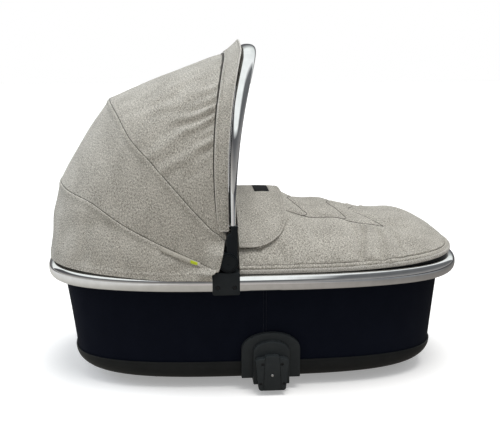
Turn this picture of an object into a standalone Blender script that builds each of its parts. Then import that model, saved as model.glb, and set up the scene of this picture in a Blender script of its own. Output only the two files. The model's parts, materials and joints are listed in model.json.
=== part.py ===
"""Carrycot: a fabric tub on a moulded tray, a chrome rail, a folding hood on a carry handle,
a padded apron with a wind flap, and an adapter on each side for a pushchair frame.

Metres, +Z up, origin on the floor under the middle. +X points to the foot end, -Y to the right side.
Heights with "_z" in the name are above the floor, and "outset" is measured outwards from the
centreline of the rail, seen from above. Most pieces are lofts through loops of points.
"""

import math

import bmesh
import bpy
import numpy as np
from mathutils import Vector

# Fits shared by all pieces
SEAT_GAP = 0.0003
RUNNING_GAP = 0.0004
CUT_OVERRUN = 0.004

# Rail: an oval tube bent round the mouth of the tub, in a head half and a foot half
RAIL_LENGTH = 0.850
RAIL_WIDTH = 0.450
RAIL_ROUNDNESS = 2.9
RAIL_TUBE_WIDTH = 0.028
RAIL_TUBE_HEIGHT = 0.033
RAIL_TUBE_WALL = 0.0015
RAIL_Z = 0.225
RAIL_END_SPACE = 0.004

# Rim: the black carrier ring inside the rail, with a lip over it that rises to both ends
RIM_CLEARANCE = 0.0005
RIM_WALL = 0.010
RIM_LIP = 0.012
RIM_DEPTH = 0.010
RIM_ABOVE_TUBE = 0.0012
RIM_END_RISE = 0.0095
RIM_RISE_POWER = 3.0

# Tray: the moulded dish under the tub, inset from the rail's outside, with two runners that it stands on
TRAY_END_INSET = 0.049
TRAY_SIDE_INSET = 0.038
TRAY_ROUNDNESS = 3.2
TRAY_DEPTH = 0.0375
TRAY_WALL = 0.003
TRAY_END_CURVE = 0.050
TRAY_SIDE_CURVE = 0.021
RUNNER_HEIGHT = 0.0195
RUNNER_LENGTH = 0.440
RUNNER_WIDTH = 0.026
RUNNER_SPACING = 0.200
RUNNER_TAPER = 0.005
RUNNER_ROOT = 0.0015

# Tub: stiff fabric-covered wall, liner, floor board and mattress
TUB_WALL = 0.004
TUB_TOP_INSET = 0.021
TUB_TUCK = 0.008
LINER_CLEARANCE = 0.0009
LINER_WALL = 0.003
LINER_OVER_MATTRESS = 0.004
LINER_BELOW_RIM = 0.002
BOARD_THICKNESS = 0.004
BOARD_END_INSET = 0.064
BOARD_SIDE_INSET = 0.028
MATTRESS_HEIGHT = 0.034
MATTRESS_CROWN = 0.010
MATTRESS_INSET = 0.0120
MATTRESS_BASE_INSET = 0.042
MATTRESS_CORNER = 0.010

# Hinge: one axis across the cot for handle and bows, on a clamp block on each side of the rail
HINGE_X = -0.0651
HINGE_ABOVE_RAIL = 0.0455
PIN_RADIUS = 0.004
PIN_HEAD_RADIUS = 0.007
PIN_HEAD = 0.002
PIN_IN_HUB = 0.009
BLOCK_SHIFT = -0.0045
BLOCK_LENGTH = 0.052
BLOCK_ABOVE = 0.0255
BLOCK_BELOW = 0.0185
BLOCK_OUTER_WALL = 0.0038
BLOCK_INNER_WALL = 0.003
BLOCK_EDGE = 0.0018
EAR_RADIUS = 0.0165
EAR_THICKNESS = 0.008
EYE_THICKNESS = 0.003
EYE_RADIUS = 0.0085
SCREW_SPACING = 0.032
SCREW_BELOW_RAIL = 0.004
SCREW_RADIUS = 0.0030
SCREW_HEAD = 0.0022
SCREW_RECESS = 0.0030
SCREW_SOCKET_RADIUS = 0.0014

# Handle: hub and leg on each side, chrome arch between them, black strip behind it, visor band
HUB_RADIUS = 0.019
HUB_THICKNESS = 0.0215
HUB_EDGE = 0.0015
LEG_REAR = -0.0035
LEG_REAR_TOP = 0.0052
LEG_FRONT = 0.0172
LEG_SHOULDER_LOW = 0.0500
LEG_SHOULDER_HIGH = 0.0570
LEG_HEIGHT = 0.0700
LEG_THICKNESS = 0.0160
SPIGOT_LENGTH = 0.012
BUTTON_RADIUS = 0.0150
BUTTON_DEPTH = 0.0060
BUTTON_PROUD = 0.0012
BUTTON_TRAVEL = 0.003
BUTTON_DISH = 0.0006
SPRING_WIRE = 0.0004
BUTTON_SPRING_TURNS = 2
BUTTON_SPRING_SHARES = (0.72, 0.36)
ARCH_BASE_X = 0.0092
ARCH_TOP_ABOVE_RAIL = 0.4336
ARCH_LEAN = 0.044
ARCH_LEAN_POWER = 2.6
ARCH_ROUNDNESS = 2.3
ARCH_BASE_WIDTH = 0.0100
ARCH_TOP_WIDTH = 0.0310
ARCH_BASE_DEPTH = 0.0140
ARCH_TOP_DEPTH = 0.0210
ARCH_TAPER_POWER = 1.3
ARCH_TUBE_WALL = 0.0015
STRIP_THICKNESS = 0.0015
STRIP_DEPTH = 0.010
STRIP_ABOVE_LEG = 0.002
VISOR_BASE_WIDTH = 0.017
VISOR_TOP_WIDTH = 0.028
VISOR_ROUNDNESS = 2.86
VISOR_BASE_ABOVE_RAIL = 0.1045
VISOR_FRONT_TOP_ABOVE_RAIL = 0.4530
VISOR_REAR_TOP_ABOVE_RAIL = 0.4285
VISOR_OUTSET = 0.0045
VISOR_THICKNESS = 0.003
VISOR_CLEARANCE = 0.0015

# Hood: two bows and three fabric panels between the visor and the rail. Places from the hinge axis
FABRIC_THICKNESS = 0.0025
HOOD_SIDE_INSET = 0.0115
HOOD_ROUNDNESS = 2.4
SEAM_GAP = 0.0006
FRONT_SEAM_FOOT = (-0.0112, 0.0410)
FRONT_SEAM_TOP = (-0.2263, 0.2909)
REAR_SEAM_FOOT = (-0.0225, -0.0110)
REAR_SEAM_TOP = (-0.3298, 0.1297)
FRONT_CUT = (-0.0100, 0.0480)
MIDDLE_CUT = (-0.0190, 0.0095)
REAR_CUT = (-0.0318, -0.0185)
CUT_REACH_SHARE = 0.30
HEM_START_X = -0.0962
HEM_ABOVE_RAIL = 0.0100
HEM_END_RISE = 0.0135
HEM_RISE_X = -0.180
HEM_OUTSET = 0.0150
HEM_END_OUTSET = 0.0085
BOW_WIDTH = 0.008
BOW_THICKNESS = 0.0025
BOW_CLEARANCE = 0.0026
TAG_START_X = -0.1915
TAG_END_X = -0.1180
TAG_WIDTH = 0.008
TAG_THICKNESS = 0.0012
TAG_BELOW_SEAM = 0.002
TAG_CLEARANCE = 0.0007

# Apron: padded cover over the foot half, and the wind flap folded back on it
APRON_FRONT_X = -0.0430
APRON_OUTSET = 0.002
APRON_EDGE = 0.006
APRON_SEAT = 0.012
APRON_THICKNESS = 0.009
APRON_HEIGHT = 0.118
APRON_SIDE_POWER = 2.2
APRON_DOME_POWER = 0.72
APRON_TIP_SHARE = 0.9985
APRON_CREST_SHARES = (
    (0.00, 1.00), (0.20, 0.96), (0.28, 0.86), (0.41, 0.80), (0.52, 0.655), (0.65, 0.60),
    (0.75, 0.572), (0.83, 0.465), (0.90, 0.30), (0.96, 0.13), (1.00, 0.00),
)
FLAP_LENGTH = 0.098
FLAP_THICKNESS = 0.005
FLAP_LIFT = 0.0009
FLAP_SIDE_SHARE = 0.903
FLAP_CORNER_POWER = 7.0
LABEL_LENGTH = 0.030
LABEL_WIDTH = 0.052
LABEL_FROM_FRONT = 0.0425
LABEL_THICKNESS = 0.0012

# Adapter: moulded housing on each side of the tub, and a plug with a sprung latch pin
ADAPTER_X = 0.0190
FLANGE_WIDTH = 0.116
FLANGE_TOP_Z = 0.118
FLANGE_SPRING_Z = 0.084
FLANGE_BOTTOM_Z = 0.026
FLANGE_FACE_INSET = 0.0135
BOSS_WIDTH = 0.071
BOSS_TOP_Z = 0.104
BOSS_SPRING_Z = 0.083
BOSS_BOTTOM_Z = 0.017
BOSS_FACE_INSET = 0.0015
ADAPTER_ROOT_INSET = 0.035
ADAPTER_EDGE = 0.0015
PLUG_THICKNESS = 0.0164
PLUG_TOP_Z = 0.0805
PLUG_SHOULDER_Z = 0.0700
PLUG_PANEL_STEP = 0.0045
PLUG_BOTTOM_Z = 0.0105
PLUG_TOP_WIDTH = 0.065
PLUG_BOTTOM_WIDTH = 0.054
PLUG_FOOT_RADIUS = 0.006
PANEL_TOP_WIDTH = 0.0275
PANEL_BOTTOM_WIDTH = 0.0360
GROOVE_WIDTH = 0.0012
GROOVE_DEPTH = 0.0015
PLUG_SCREW_TOP = (0.0188, 0.0645)
PLUG_SCREW_BOTTOM = (0.0228, 0.0245)
LATCH_Z = 0.0420
LATCH_RADIUS = 0.0028
LATCH_COLLAR_RADIUS = 0.0046
LATCH_COLLAR = 0.002
LATCH_PROUD = 0.0015
LATCH_FRONT_WALL = 0.003
LATCH_SPRING_TURNS = 4

# Facets
OUTLINE_STEPS = 48
BEND_SHARE = 0.5
TUBE_SIDES = 10
ARCH_STEPS = 27
RIB_STEPS = 25
PANEL_STEPS = 5
BOW_STEPS = 22
CREST_STEPS = 20
CROSS_STEPS = 17
CURVE_STEPS = 5
DENSE_STEPS = 2400
CIRCLE_STEPS = 20
TURN_STEPS = 6
SHARP_ANGLE = math.radians(32)
QUARTER_TURN = math.pi / 2

RAIL_HALF_LENGTH = (RAIL_LENGTH - RAIL_TUBE_WIDTH) / 2
RAIL_HALF_WIDTH = (RAIL_WIDTH - RAIL_TUBE_WIDTH) / 2
TRAY_LENGTH = RAIL_LENGTH - 2 * TRAY_END_INSET
TRAY_WIDTH = RAIL_WIDTH - 2 * TRAY_SIDE_INSET
TRAY_TOP_Z = RUNNER_HEIGHT + TRAY_DEPTH
HOOD_HALF_WIDTH = RAIL_WIDTH / 2 - HOOD_SIDE_INSET
HINGE_Z = RAIL_Z + HINGE_ABOVE_RAIL
RIM_OUTSET = -(RAIL_TUBE_WIDTH / 2 + RIM_CLEARANCE)
BLOCK_X = HINGE_X + BLOCK_SHIFT
BOSS_FACE_Y = RAIL_HALF_WIDTH - BOSS_FACE_INSET
PLUG_FACE_Y = BOSS_FACE_Y + SEAT_GAP + PLUG_THICKNESS
SIDES = (("right", -1), ("left", 1))


def material(name, colour, roughness, metallic=0.0):
    made = bpy.data.materials.new(name)
    made.use_nodes = True
    made.diffuse_color = (*colour, 1)
    shader = made.node_tree.nodes["Principled BSDF"]
    shader.inputs["Base Color"].default_value = (*colour, 1)
    shader.inputs["Roughness"].default_value = roughness
    shader.inputs["Metallic"].default_value = metallic
    return made


def solid(name, vertices, faces, finish, origin=(0, 0, 0)):
    """A mesh object from world points, with its own origin at origin."""
    centre = Vector(origin)
    mesh = bpy.data.meshes.new(name)
    mesh.from_pydata([Vector(point) - centre for point in vertices], [], faces)
    work = bmesh.new()
    work.from_mesh(mesh)
    bmesh.ops.recalc_face_normals(work, faces=work.faces)
    work.to_mesh(mesh)
    work.free()
    mesh.materials.append(finish)
    mesh.shade_smooth()
    mesh.set_sharp_from_angle(angle=SHARP_ANGLE)
    made = bpy.data.objects.new(name, mesh)
    made.location = centre
    bpy.context.scene.collection.objects.link(made)
    return made


def loft(name, loops, finish, ring=False, origin=(0, 0, 0)):
    """Closed loops of equal size joined in order: to a ring, or with flat caps at both ends."""
    size, count = len(loops[0]), len(loops)
    faces = []
    for i in range(count if ring else count - 1):
        here, there = i * size, (i + 1) % count * size
        for j in range(size):
            k = (j + 1) % size
            faces.append((here + j, here + k, there + k, there + j))
    if not ring:
        faces.append(tuple(range(size)))
        faces.append(tuple(range((count - 1) * size, count * size)))
    return solid(name, np.concatenate(loops), faces, finish, origin)


def sheet(name, outer, inner, finish, origin=(0, 0, 0)):
    """A closed solid between two grids of points of equal size."""
    rows, columns = outer.shape[:2]
    count = rows * columns
    faces = []
    for i in range(rows - 1):
        for j in range(columns - 1):
            corner = i * columns + j
            face = (corner, corner + 1, corner + columns + 1, corner + columns)
            faces.append(face)
            faces.append(tuple(count + index for index in reversed(face)))
    border = [j for j in range(columns)]
    border += [i * columns + columns - 1 for i in range(1, rows)]
    border += [(rows - 1) * columns + j for j in range(columns - 2, -1, -1)]
    border += [i * columns for i in range(rows - 2, 0, -1)]
    for here, there in zip(border, border[1:] + border[:1]):
        faces.append((here, here + count, there + count, there))
    vertices = np.concatenate([outer.reshape(-1, 3), inner.reshape(-1, 3)])
    return solid(name, vertices, faces, finish, origin)


def prism(name, outline, near_y, far_y, finish, origin=(0, 0, 0)):
    """An outline of (x, z) points between two planes across Y."""
    loops = [np.array([(x, y, z) for x, z in outline]) for y in (near_y, far_y)]
    return loft(name, loops, finish, origin=origin)


def turned(name, profile, x, z, finish, steps=CIRCLE_STEPS):
    """A profile of (radius, y) points turned about a line along Y."""
    angles = np.linspace(0, 2 * math.pi, steps, endpoint=False)
    loops = []
    for radius, y in profile:
        across, up = x + radius * np.cos(angles), z + radius * np.sin(angles)
        loops.append(np.column_stack([across, np.full(steps, y), up]))
    return loft(name, loops, finish, origin=(x, profile[0][1], z))


def bevel(piece, width, segments=2):
    rounding = piece.modifiers.new("rounding", "BEVEL")
    rounding.width = width
    rounding.segments = segments
    rounding.limit_method = "ANGLE"
    rounding.angle_limit = SHARP_ANGLE
    return piece


def combine(piece, other, operation):
    """Joins or cuts a piece with a helper, which stays out of the result."""
    step = piece.modifiers.new(other.name, "BOOLEAN")
    step.operation = operation
    step.solver = "EXACT"
    step.object = other
    other.hide_render = True
    other.display_type = "WIRE"
    return piece


def cut(piece, *cutters):
    for cutter in cutters:
        combine(piece, cutter, "DIFFERENCE")
    return piece


def join(piece, *others):
    for other in others:
        combine(piece, other, "UNION")
    return piece


def spaced(points, count, closed=False, bend_share=0.0):
    """Points at even steps along a line of points, closer where it bends if bend_share says so."""
    parts = np.diff(points, axis=0)
    steps = np.linalg.norm(parts, axis=1)
    heading = parts / steps[:, None]
    bends = np.concatenate([[0], np.linalg.norm(np.diff(heading, axis=0), axis=1)])
    if bend_share:
        steps = (1 - bend_share) * steps / steps.sum() + bend_share * bends / bends.sum()
    along = np.concatenate([[0], np.cumsum(steps)])
    wanted = np.linspace(0, along[-1], count, endpoint=not closed)
    return np.column_stack([np.interp(wanted, along, column) for column in points.T])


def superellipse(half_length, half_width, roundness, count=OUTLINE_STEPS):
    angle = np.linspace(0, 2 * math.pi, DENSE_STEPS + 1)
    cosine, sine = np.cos(angle), np.sin(angle)
    x = half_length * np.sign(cosine) * np.abs(cosine) ** (2 / roundness)
    y = half_width * np.sign(sine) * np.abs(sine) ** (2 / roundness)
    return spaced(np.column_stack([x, y]), count, closed=True, bend_share=BEND_SHARE)


def moved_out(outline, distance):
    """A closed outline shifted outwards by a distance along its own normals."""
    along = np.roll(outline, -1, axis=0) - np.roll(outline, 1, axis=0)
    normal = np.column_stack([along[:, 1], -along[:, 0]])
    return outline + distance * normal / np.linalg.norm(normal, axis=1, keepdims=True)


def raised(outline, z):
    return np.column_stack([outline, np.broadcast_to(z, len(outline))])


def rail_outline(outset):
    return moved_out(superellipse(RAIL_HALF_LENGTH, RAIL_HALF_WIDTH, RAIL_ROUNDNESS), outset)


def rail_half_width(x, outset=0.0):
    """Half the width of the rail's centreline at x, or of a line that far outside it."""
    share = np.clip(np.abs(x) / (RAIL_HALF_LENGTH + outset), 0, 1)
    return (RAIL_HALF_WIDTH + outset) * (1 - share**RAIL_ROUNDNESS) ** (1 / RAIL_ROUNDNESS)


def rim_top(x):
    """Height of the rim's lip, which rises towards both ends of the cot."""
    share = np.abs(x) / RAIL_HALF_LENGTH
    return RAIL_Z + RAIL_TUBE_HEIGHT / 2 + RIM_ABOVE_TUBE + RIM_END_RISE * share**RIM_RISE_POWER


def oval_loops(path, side, up, half_side, half_up, sides=TUBE_SIDES):
    """Oval sections along a path, with their two directions and half sizes for each point."""
    angles = np.linspace(0, 2 * math.pi, sides, endpoint=False)
    return [
        point
        + np.outer(np.cos(angles) * wide, across)
        + np.outer(np.sin(angles) * high, above)
        for point, across, above, wide, high in zip(path, side, up, half_side, half_up)
    ]


def directions(path):
    along = np.gradient(path, axis=0)
    return along / np.linalg.norm(along, axis=1, keepdims=True)


def rail_sections(growth):
    """Oval sections of the rail at the points of its outline, on the outline's own normals."""
    middle = rail_outline(0)
    normal = rail_outline(1) - middle
    wide, high = RAIL_TUBE_WIDTH / 2 + growth, RAIL_TUBE_HEIGHT / 2 + growth
    angles = np.linspace(0, 2 * math.pi, TUBE_SIDES, endpoint=False)
    sections = []
    for point, out in zip(middle, normal):
        plan = point + np.outer(np.cos(angles) * wide, out)
        sections.append(np.column_stack([plan, RAIL_Z + high * np.sin(angles)]))
    return np.array(sections)


def rail_stations(towards):
    """Which points of the outline one half of the rail takes, with a fraction at its two ends."""
    half_way = OUTLINE_STEPS // 2
    x = rail_outline(0)[:half_way + 1, 0]
    end = np.interp(-(BLOCK_X + towards * RAIL_END_SPACE / 2), -x, np.arange(half_way + 1))
    if towards > 0:
        return [-end, *range(-math.floor(end), math.floor(end) + 1), end]
    return [end, *range(math.ceil(end), OUTLINE_STEPS - math.ceil(end) + 1), OUTLINE_STEPS - end]


def section_at(sections, station):
    low = math.floor(station)
    share = station - low
    here, there = sections[low % OUTLINE_STEPS], sections[(low + 1) % OUTLINE_STEPS]
    return (1 - share) * here + share * there


def make_rail(finish):
    outside, inside = rail_sections(0), rail_sections(-RAIL_TUBE_WALL)
    for name, towards in (("rail_foot", 1), ("rail_head", -1)):
        stations = rail_stations(towards)
        loops = [section_at(outside, station) for station in stations]
        loops += [section_at(inside, station) for station in reversed(stations)]
        loft(name, loops, finish, ring=True)


def block_outline(room=0.0, overrun=0.0):
    """The hinge block from the side, with room round its length and overrun above and below it."""
    half = BLOCK_LENGTH / 2 + room
    low, high = RAIL_Z - BLOCK_BELOW - overrun, RAIL_Z + BLOCK_ABOVE + overrun
    return [
        (BLOCK_X - half, low), (BLOCK_X + half, low), (BLOCK_X + half, high), (BLOCK_X - half, high),
    ]


def make_rim(finish):
    notch_outset = RIM_OUTSET - BLOCK_INNER_WALL - RUNNING_GAP
    half_height = RAIL_TUBE_HEIGHT / 2 + RIM_CLEARANCE
    lip_outset = RIM_OUTSET + RIM_LIP
    inner_outset = RIM_OUTSET - RIM_WALL
    first = math.acos(lip_outset / RIM_OUTSET)
    outline = rail_outline(lip_outset)
    loops = [raised(outline, rim_top(outline[:, 0]))]
    for turn in np.linspace(first, 0, CURVE_STEPS):
        level = RAIL_Z + half_height * math.sin(turn)
        loops.append(raised(rail_outline(RIM_OUTSET * math.cos(turn)), level))
    loops.append(raised(rail_outline(RIM_OUTSET), RAIL_Z - RIM_DEPTH))
    inner = rail_outline(inner_outset)
    loops.append(raised(inner, RAIL_Z - RIM_DEPTH))
    loops.append(raised(inner, rim_top(inner[:, 0])))
    rim = loft("rim", loops, finish, ring=True)
    outline = block_outline(RUNNING_GAP, CUT_OVERRUN)
    near = rail_half_width(BLOCK_X) + notch_outset
    far = rail_half_width(BLOCK_X) + RAIL_TUBE_WIDTH
    for side_name, side in SIDES:
        cut(rim, prism(f"rim_notch_{side_name}", outline, side * near, side * far, finish))


def tray_outline(inset_end, inset_side, growth=0.0):
    shape = superellipse(TRAY_LENGTH / 2 - inset_end, TRAY_WIDTH / 2 - inset_side, TRAY_ROUNDNESS)
    return moved_out(shape, growth)


def tray_loop(turn, growth=0.0, lift=0.0):
    """One loop of the tray's curved side: turn is 0 at its top edge and a quarter turn at its base."""
    shrink = 1 - math.cos(turn)
    outline = tray_outline(TRAY_END_CURVE * shrink, TRAY_SIDE_CURVE * shrink, growth)
    depth = (TRAY_DEPTH - lift) * math.sin(turn)
    return raised(outline, TRAY_TOP_Z - depth)


def stadium(length, width, x, y, steps=CIRCLE_STEPS // 2):
    points = []
    for end, start in ((1, -QUARTER_TURN), (-1, QUARTER_TURN)):
        for angle in np.linspace(start, start + math.pi, steps):
            middle = end * (length - width) / 2
            points.append((x + middle + width / 2 * math.cos(angle), y + width / 2 * math.sin(angle)))
    return np.array(points)


def make_tray(finish):
    turns = np.linspace(0, QUARTER_TURN, CURVE_STEPS + 1)
    loops = [tray_loop(turn) for turn in turns]
    inside = [tray_loop(turn, -TRAY_WALL, TRAY_WALL) for turn in turns]
    tray = loft("base_tray", loops[::-1] + inside, finish)
    for side_name, side in SIDES:
        y = side * RUNNER_SPACING / 2
        levels = (RUNNER_HEIGHT + RUNNER_ROOT, RUNNER_TAPER / 2, 0)
        widths = (RUNNER_WIDTH, RUNNER_WIDTH - RUNNER_TAPER, RUNNER_WIDTH - 2 * RUNNER_TAPER)
        runner = [
            raised(stadium(RUNNER_LENGTH - RUNNER_WIDTH + width, width, 0, y), level)
            for level, width in zip(levels, widths)
        ]
        join(tray, loft(f"runner_{side_name}", runner, finish))


def tub_outline(z, inset):
    """Outline of the tub's wall at a height above the tray's edge, moved inwards by inset."""
    share = (z - TRAY_TOP_Z) / (RAIL_Z - RIM_DEPTH - TRAY_TOP_Z)
    upper = rail_outline(-TUB_TOP_INSET)
    lower = tray_outline(0, 0, -TRAY_WALL - SEAT_GAP)
    return moved_out(share * upper + (1 - share) * lower, -inset)


def tucked_outline(inset):
    """Outline of the wall's lower edge, which follows the tray's inner face down into it."""
    turn = math.asin(TUB_TUCK / (TRAY_DEPTH - TRAY_WALL))
    return tray_loop(turn, -TRAY_WALL - 2 * SEAT_GAP - inset, TRAY_WALL)[:, :2]


def make_tub(finishes):
    top, low = RAIL_Z - RIM_DEPTH - SEAT_GAP, TRAY_TOP_Z - TUB_TUCK
    loops = []
    for depth in (0, TUB_WALL):
        wall = [raised(tucked_outline(depth), low)]
        wall += [raised(tub_outline(z, depth), z) for z in (TRAY_TOP_Z, top)]
        loops += wall if depth == 0 else wall[::-1]
    loft("tub_wall", loops, finishes["navy"], ring=True)

    board_z = RUNNER_HEIGHT + TRAY_WALL + SEAT_GAP
    outline = tray_outline(BOARD_END_INSET, BOARD_SIDE_INSET)
    board = [raised(outline, board_z), raised(outline, board_z + BOARD_THICKNESS)]
    loft("floor_board", board, finishes["board"])

    mattress_z = board_z + BOARD_THICKNESS + SEAT_GAP
    side_top = mattress_z + MATTRESS_HEIGHT
    inset = MATTRESS_INSET
    rounding = MATTRESS_CORNER
    rows = (
        (MATTRESS_BASE_INSET, MATTRESS_BASE_INSET / 2, mattress_z),
        (inset + rounding, inset + rounding / 2, mattress_z + rounding),
        (inset, inset, mattress_z + 2 * rounding),
        (inset, inset, side_top),
        (inset + rounding / 2, inset + rounding / 2, side_top + MATTRESS_CROWN / 3),
        (inset + 3 * rounding, inset + 3 * rounding, side_top + 2 * MATTRESS_CROWN / 3),
        (inset + 8 * rounding, inset + 8 * rounding, side_top + MATTRESS_CROWN),
    )
    mattress = [raised(tray_outline(end, side), z) for end, side, z in rows]
    loft("mattress", mattress, finishes["cotton"])

    liner_inset = TUB_WALL + LINER_CLEARANCE
    bottom = side_top + MATTRESS_CROWN + LINER_OVER_MATTRESS
    loops = []
    for depth in (liner_inset, liner_inset + LINER_WALL):
        wall = [raised(tub_outline(z, depth), z) for z in (bottom, RAIL_Z - RIM_DEPTH)]
        head = rail_outline(RIM_OUTSET - RIM_WALL - SEAT_GAP + liner_inset - depth)
        wall.append(raised(head, rim_top(head[:, 0]) - LINER_BELOW_RIM))
        loops += wall if depth == liner_inset else wall[::-1]
    loft("liner", loops, finishes["lining"], ring=True)


def block_faces(side):
    """Places across the cot of the layers on the hinge pin, from the ear outwards."""
    ear = rail_half_width(BLOCK_X) - RAIL_TUBE_WIDTH / 2 - BLOCK_INNER_WALL
    rear_eye = ear + EAR_THICKNESS + SEAT_GAP
    front_eye = rear_eye + EYE_THICKNESS + SEAT_GAP
    hub = front_eye + EYE_THICKNESS + 2 * RUNNING_GAP
    return {name: side * y for name, y in
            (("ear", ear), ("rear_eye", rear_eye), ("front_eye", front_eye), ("hub", hub))}


def arched(half_width, spring_z, top_z, bottom_z, x, steps=CIRCLE_STEPS // 2):
    """An upright outline with a half-elliptic top."""
    points = [(x + half_width, bottom_z)]
    for angle in np.linspace(0, math.pi, steps + 1):
        rise = (top_z - spring_z) * math.sin(angle)
        points.append((x + half_width * math.cos(angle), spring_z + rise))
    points.append((x - half_width, bottom_z))
    return points


def make_hinge(side_name, side, finishes):
    faces = block_faces(side)
    outer = side * (rail_half_width(BLOCK_X) + RAIL_TUBE_WIDTH / 2 + BLOCK_OUTER_WALL)
    black = finishes["black"]
    origin = (HINGE_X, faces["ear"], HINGE_Z)
    block = prism(f"hinge_block_{side_name}", block_outline(), faces["ear"], outer, black, origin)
    bevel(block, BLOCK_EDGE)
    ear_root = RAIL_Z + BLOCK_ABOVE - BLOCK_EDGE
    outline = arched(EAR_RADIUS, HINGE_Z, HINGE_Z + EAR_RADIUS, ear_root, HINGE_X)
    ear = prism(f"ear_{side_name}", outline, faces["ear"], faces["ear"] + side * EAR_THICKNESS, black)
    join(block, ear)

    sections = rail_sections(2 * SEAT_GAP)
    stations = [station for station in range(OUTLINE_STEPS) if side * sections[station, 0, 1] > 0]
    channel = loft(f"rail_channel_{side_name}", [sections[station] for station in stations], black)
    bore_radius = PIN_RADIUS + SEAT_GAP
    inside = faces["ear"] - side * CUT_OVERRUN
    outside = faces["ear"] + side * (EAR_THICKNESS + CUT_OVERRUN)
    bore = ((bore_radius, inside), (bore_radius, outside))
    cut(block, channel, turned(f"pin_bore_{side_name}", bore, HINGE_X, HINGE_Z, black))

    screw_z = RAIL_Z - SCREW_BELOW_RAIL
    floor = outer - side * SCREW_RECESS
    for place, x in (("head", BLOCK_X - SCREW_SPACING / 2), ("foot", BLOCK_X + SCREW_SPACING / 2)):
        radius = SCREW_RADIUS + SEAT_GAP
        recess = ((radius, floor), (radius, outer + side * CUT_OVERRUN))
        cut(block, turned(f"screw_recess_{place}_{side_name}", recess, x, screw_z, black))
        seat = floor + side * SEAT_GAP
        top = seat + side * SCREW_HEAD
        profile = (
            (SCREW_RADIUS, seat), (SCREW_RADIUS, top), (SCREW_SOCKET_RADIUS, top),
            (SCREW_SOCKET_RADIUS, top - side * SCREW_HEAD / 2),
        )
        name = f"block_screw_{place}_{side_name}"
        turned(name, profile, x, screw_z, finishes["dark_steel"], CIRCLE_STEPS // 2)

    head_face = faces["ear"] - side * SEAT_GAP
    profile = (
        (PIN_HEAD_RADIUS, head_face - side * PIN_HEAD), (PIN_HEAD_RADIUS, head_face),
        (PIN_RADIUS, head_face), (PIN_RADIUS, faces["hub"] + side * PIN_IN_HUB),
    )
    turned(f"hinge_pin_{side_name}", profile, HINGE_X, HINGE_Z, finishes["steel"])


def coil(name, x, z, ends, radii, turns, finish):
    """A compression spring along Y as one wire, cylindrical or conical."""
    wire = bpy.data.curves.new(name, "CURVE")
    wire.dimensions = "3D"
    wire.bevel_depth = SPRING_WIRE
    wire.bevel_resolution = 0
    wire.use_fill_caps = True
    line = wire.splines.new("POLY")
    count = turns * TURN_STEPS
    line.points.add(count)
    share = np.linspace(0, 1, count + 1)
    angle = 2 * math.pi * turns * share
    radius = radii[0] + (radii[1] - radii[0]) * share
    along = (ends[1] - ends[0]) * share
    places = np.column_stack([radius * np.cos(angle), along, radius * np.sin(angle)])
    for point, place in zip(line.points, places):
        point.co = (*place, 1)
    wire.materials.append(finish)
    made = bpy.data.objects.new(name, wire)
    made.location = (x, ends[0], z)
    bpy.context.scene.collection.objects.link(made)
    apart = np.linalg.norm(places[:, None] - places[None], axis=2)
    order = np.arange(count + 1)
    other_turn = np.abs(order[:, None] - order[None]) >= TURN_STEPS - 1
    print(f"{name}: least gap between turns {apart[other_turn].min() - 2 * SPRING_WIRE:.4f} m")


def arch_line(count=ARCH_STEPS):
    """Centreline of the chrome arch, its width and depth, and how far up the arch each point is."""
    base = HINGE_Z + LEG_HEIGHT + SEAT_GAP
    rise = RAIL_Z + ARCH_TOP_ABOVE_RAIL - base
    half_width = arch_half_width()
    angle = np.linspace(-QUARTER_TURN, QUARTER_TURN, DENSE_STEPS + 1)
    share = np.cos(angle) ** (2 / ARCH_ROUNDNESS)
    y = half_width * np.sign(angle) * np.abs(np.sin(angle)) ** (2 / ARCH_ROUNDNESS)
    x = HINGE_X + ARCH_BASE_X + ARCH_LEAN * share**ARCH_LEAN_POWER
    line = spaced(np.column_stack([x, y, base + rise * share]), count)
    up_share = np.clip((line[:, 2] - base) / rise, 0, 1)
    taper = up_share**ARCH_TAPER_POWER
    width = ARCH_BASE_WIDTH + (ARCH_TOP_WIDTH - ARCH_BASE_WIDTH) * taper
    depth = ARCH_BASE_DEPTH + (ARCH_TOP_DEPTH - ARCH_BASE_DEPTH) * taper
    return line, width, depth, up_share


def arch_half_width():
    return block_faces(1)["hub"] + HUB_THICKNESS / 2


def arch_frame(line):
    """Directions across the arch towards the foot end, and outwards, at each of its points."""
    along = directions(line)
    along[0], along[-1] = (0, 0, 1), (0, 0, -1)
    forward = np.array([1, 0, 0]) - along * along[:, :1]
    forward /= np.linalg.norm(forward, axis=1, keepdims=True)
    return forward, np.cross(forward, along)


def make_arch(finishes):
    line, width, depth, _ = arch_line()
    forward, outward = arch_frame(line)
    outside = oval_loops(line, forward, outward, width / 2, depth / 2)
    wall = ARCH_TUBE_WALL
    inside = oval_loops(line, forward, outward, width / 2 - wall, depth / 2 - wall)
    origin = (HINGE_X, 0, HINGE_Z)
    loft("handle_arch", outside + inside[::-1], finishes["chrome"], ring=True, origin=origin)

    keep = line[:, 2] > HINGE_Z + LEG_HEIGHT + STRIP_ABOVE_LEG
    loops = []
    for point, fore, out, wide in zip(line[keep], forward[keep], outward[keep], width[keep]):
        front = -(wide / 2 + SEAT_GAP)
        back = front - STRIP_THICKNESS
        half = STRIP_DEPTH / 2
        corners = ((front, -half), (front, half), (back, half), (back, -half))
        loops.append(np.array([point + a * fore + b * out for a, b in corners]))
    loft("arch_strip", loops, finishes["black"], origin=origin)


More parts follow.
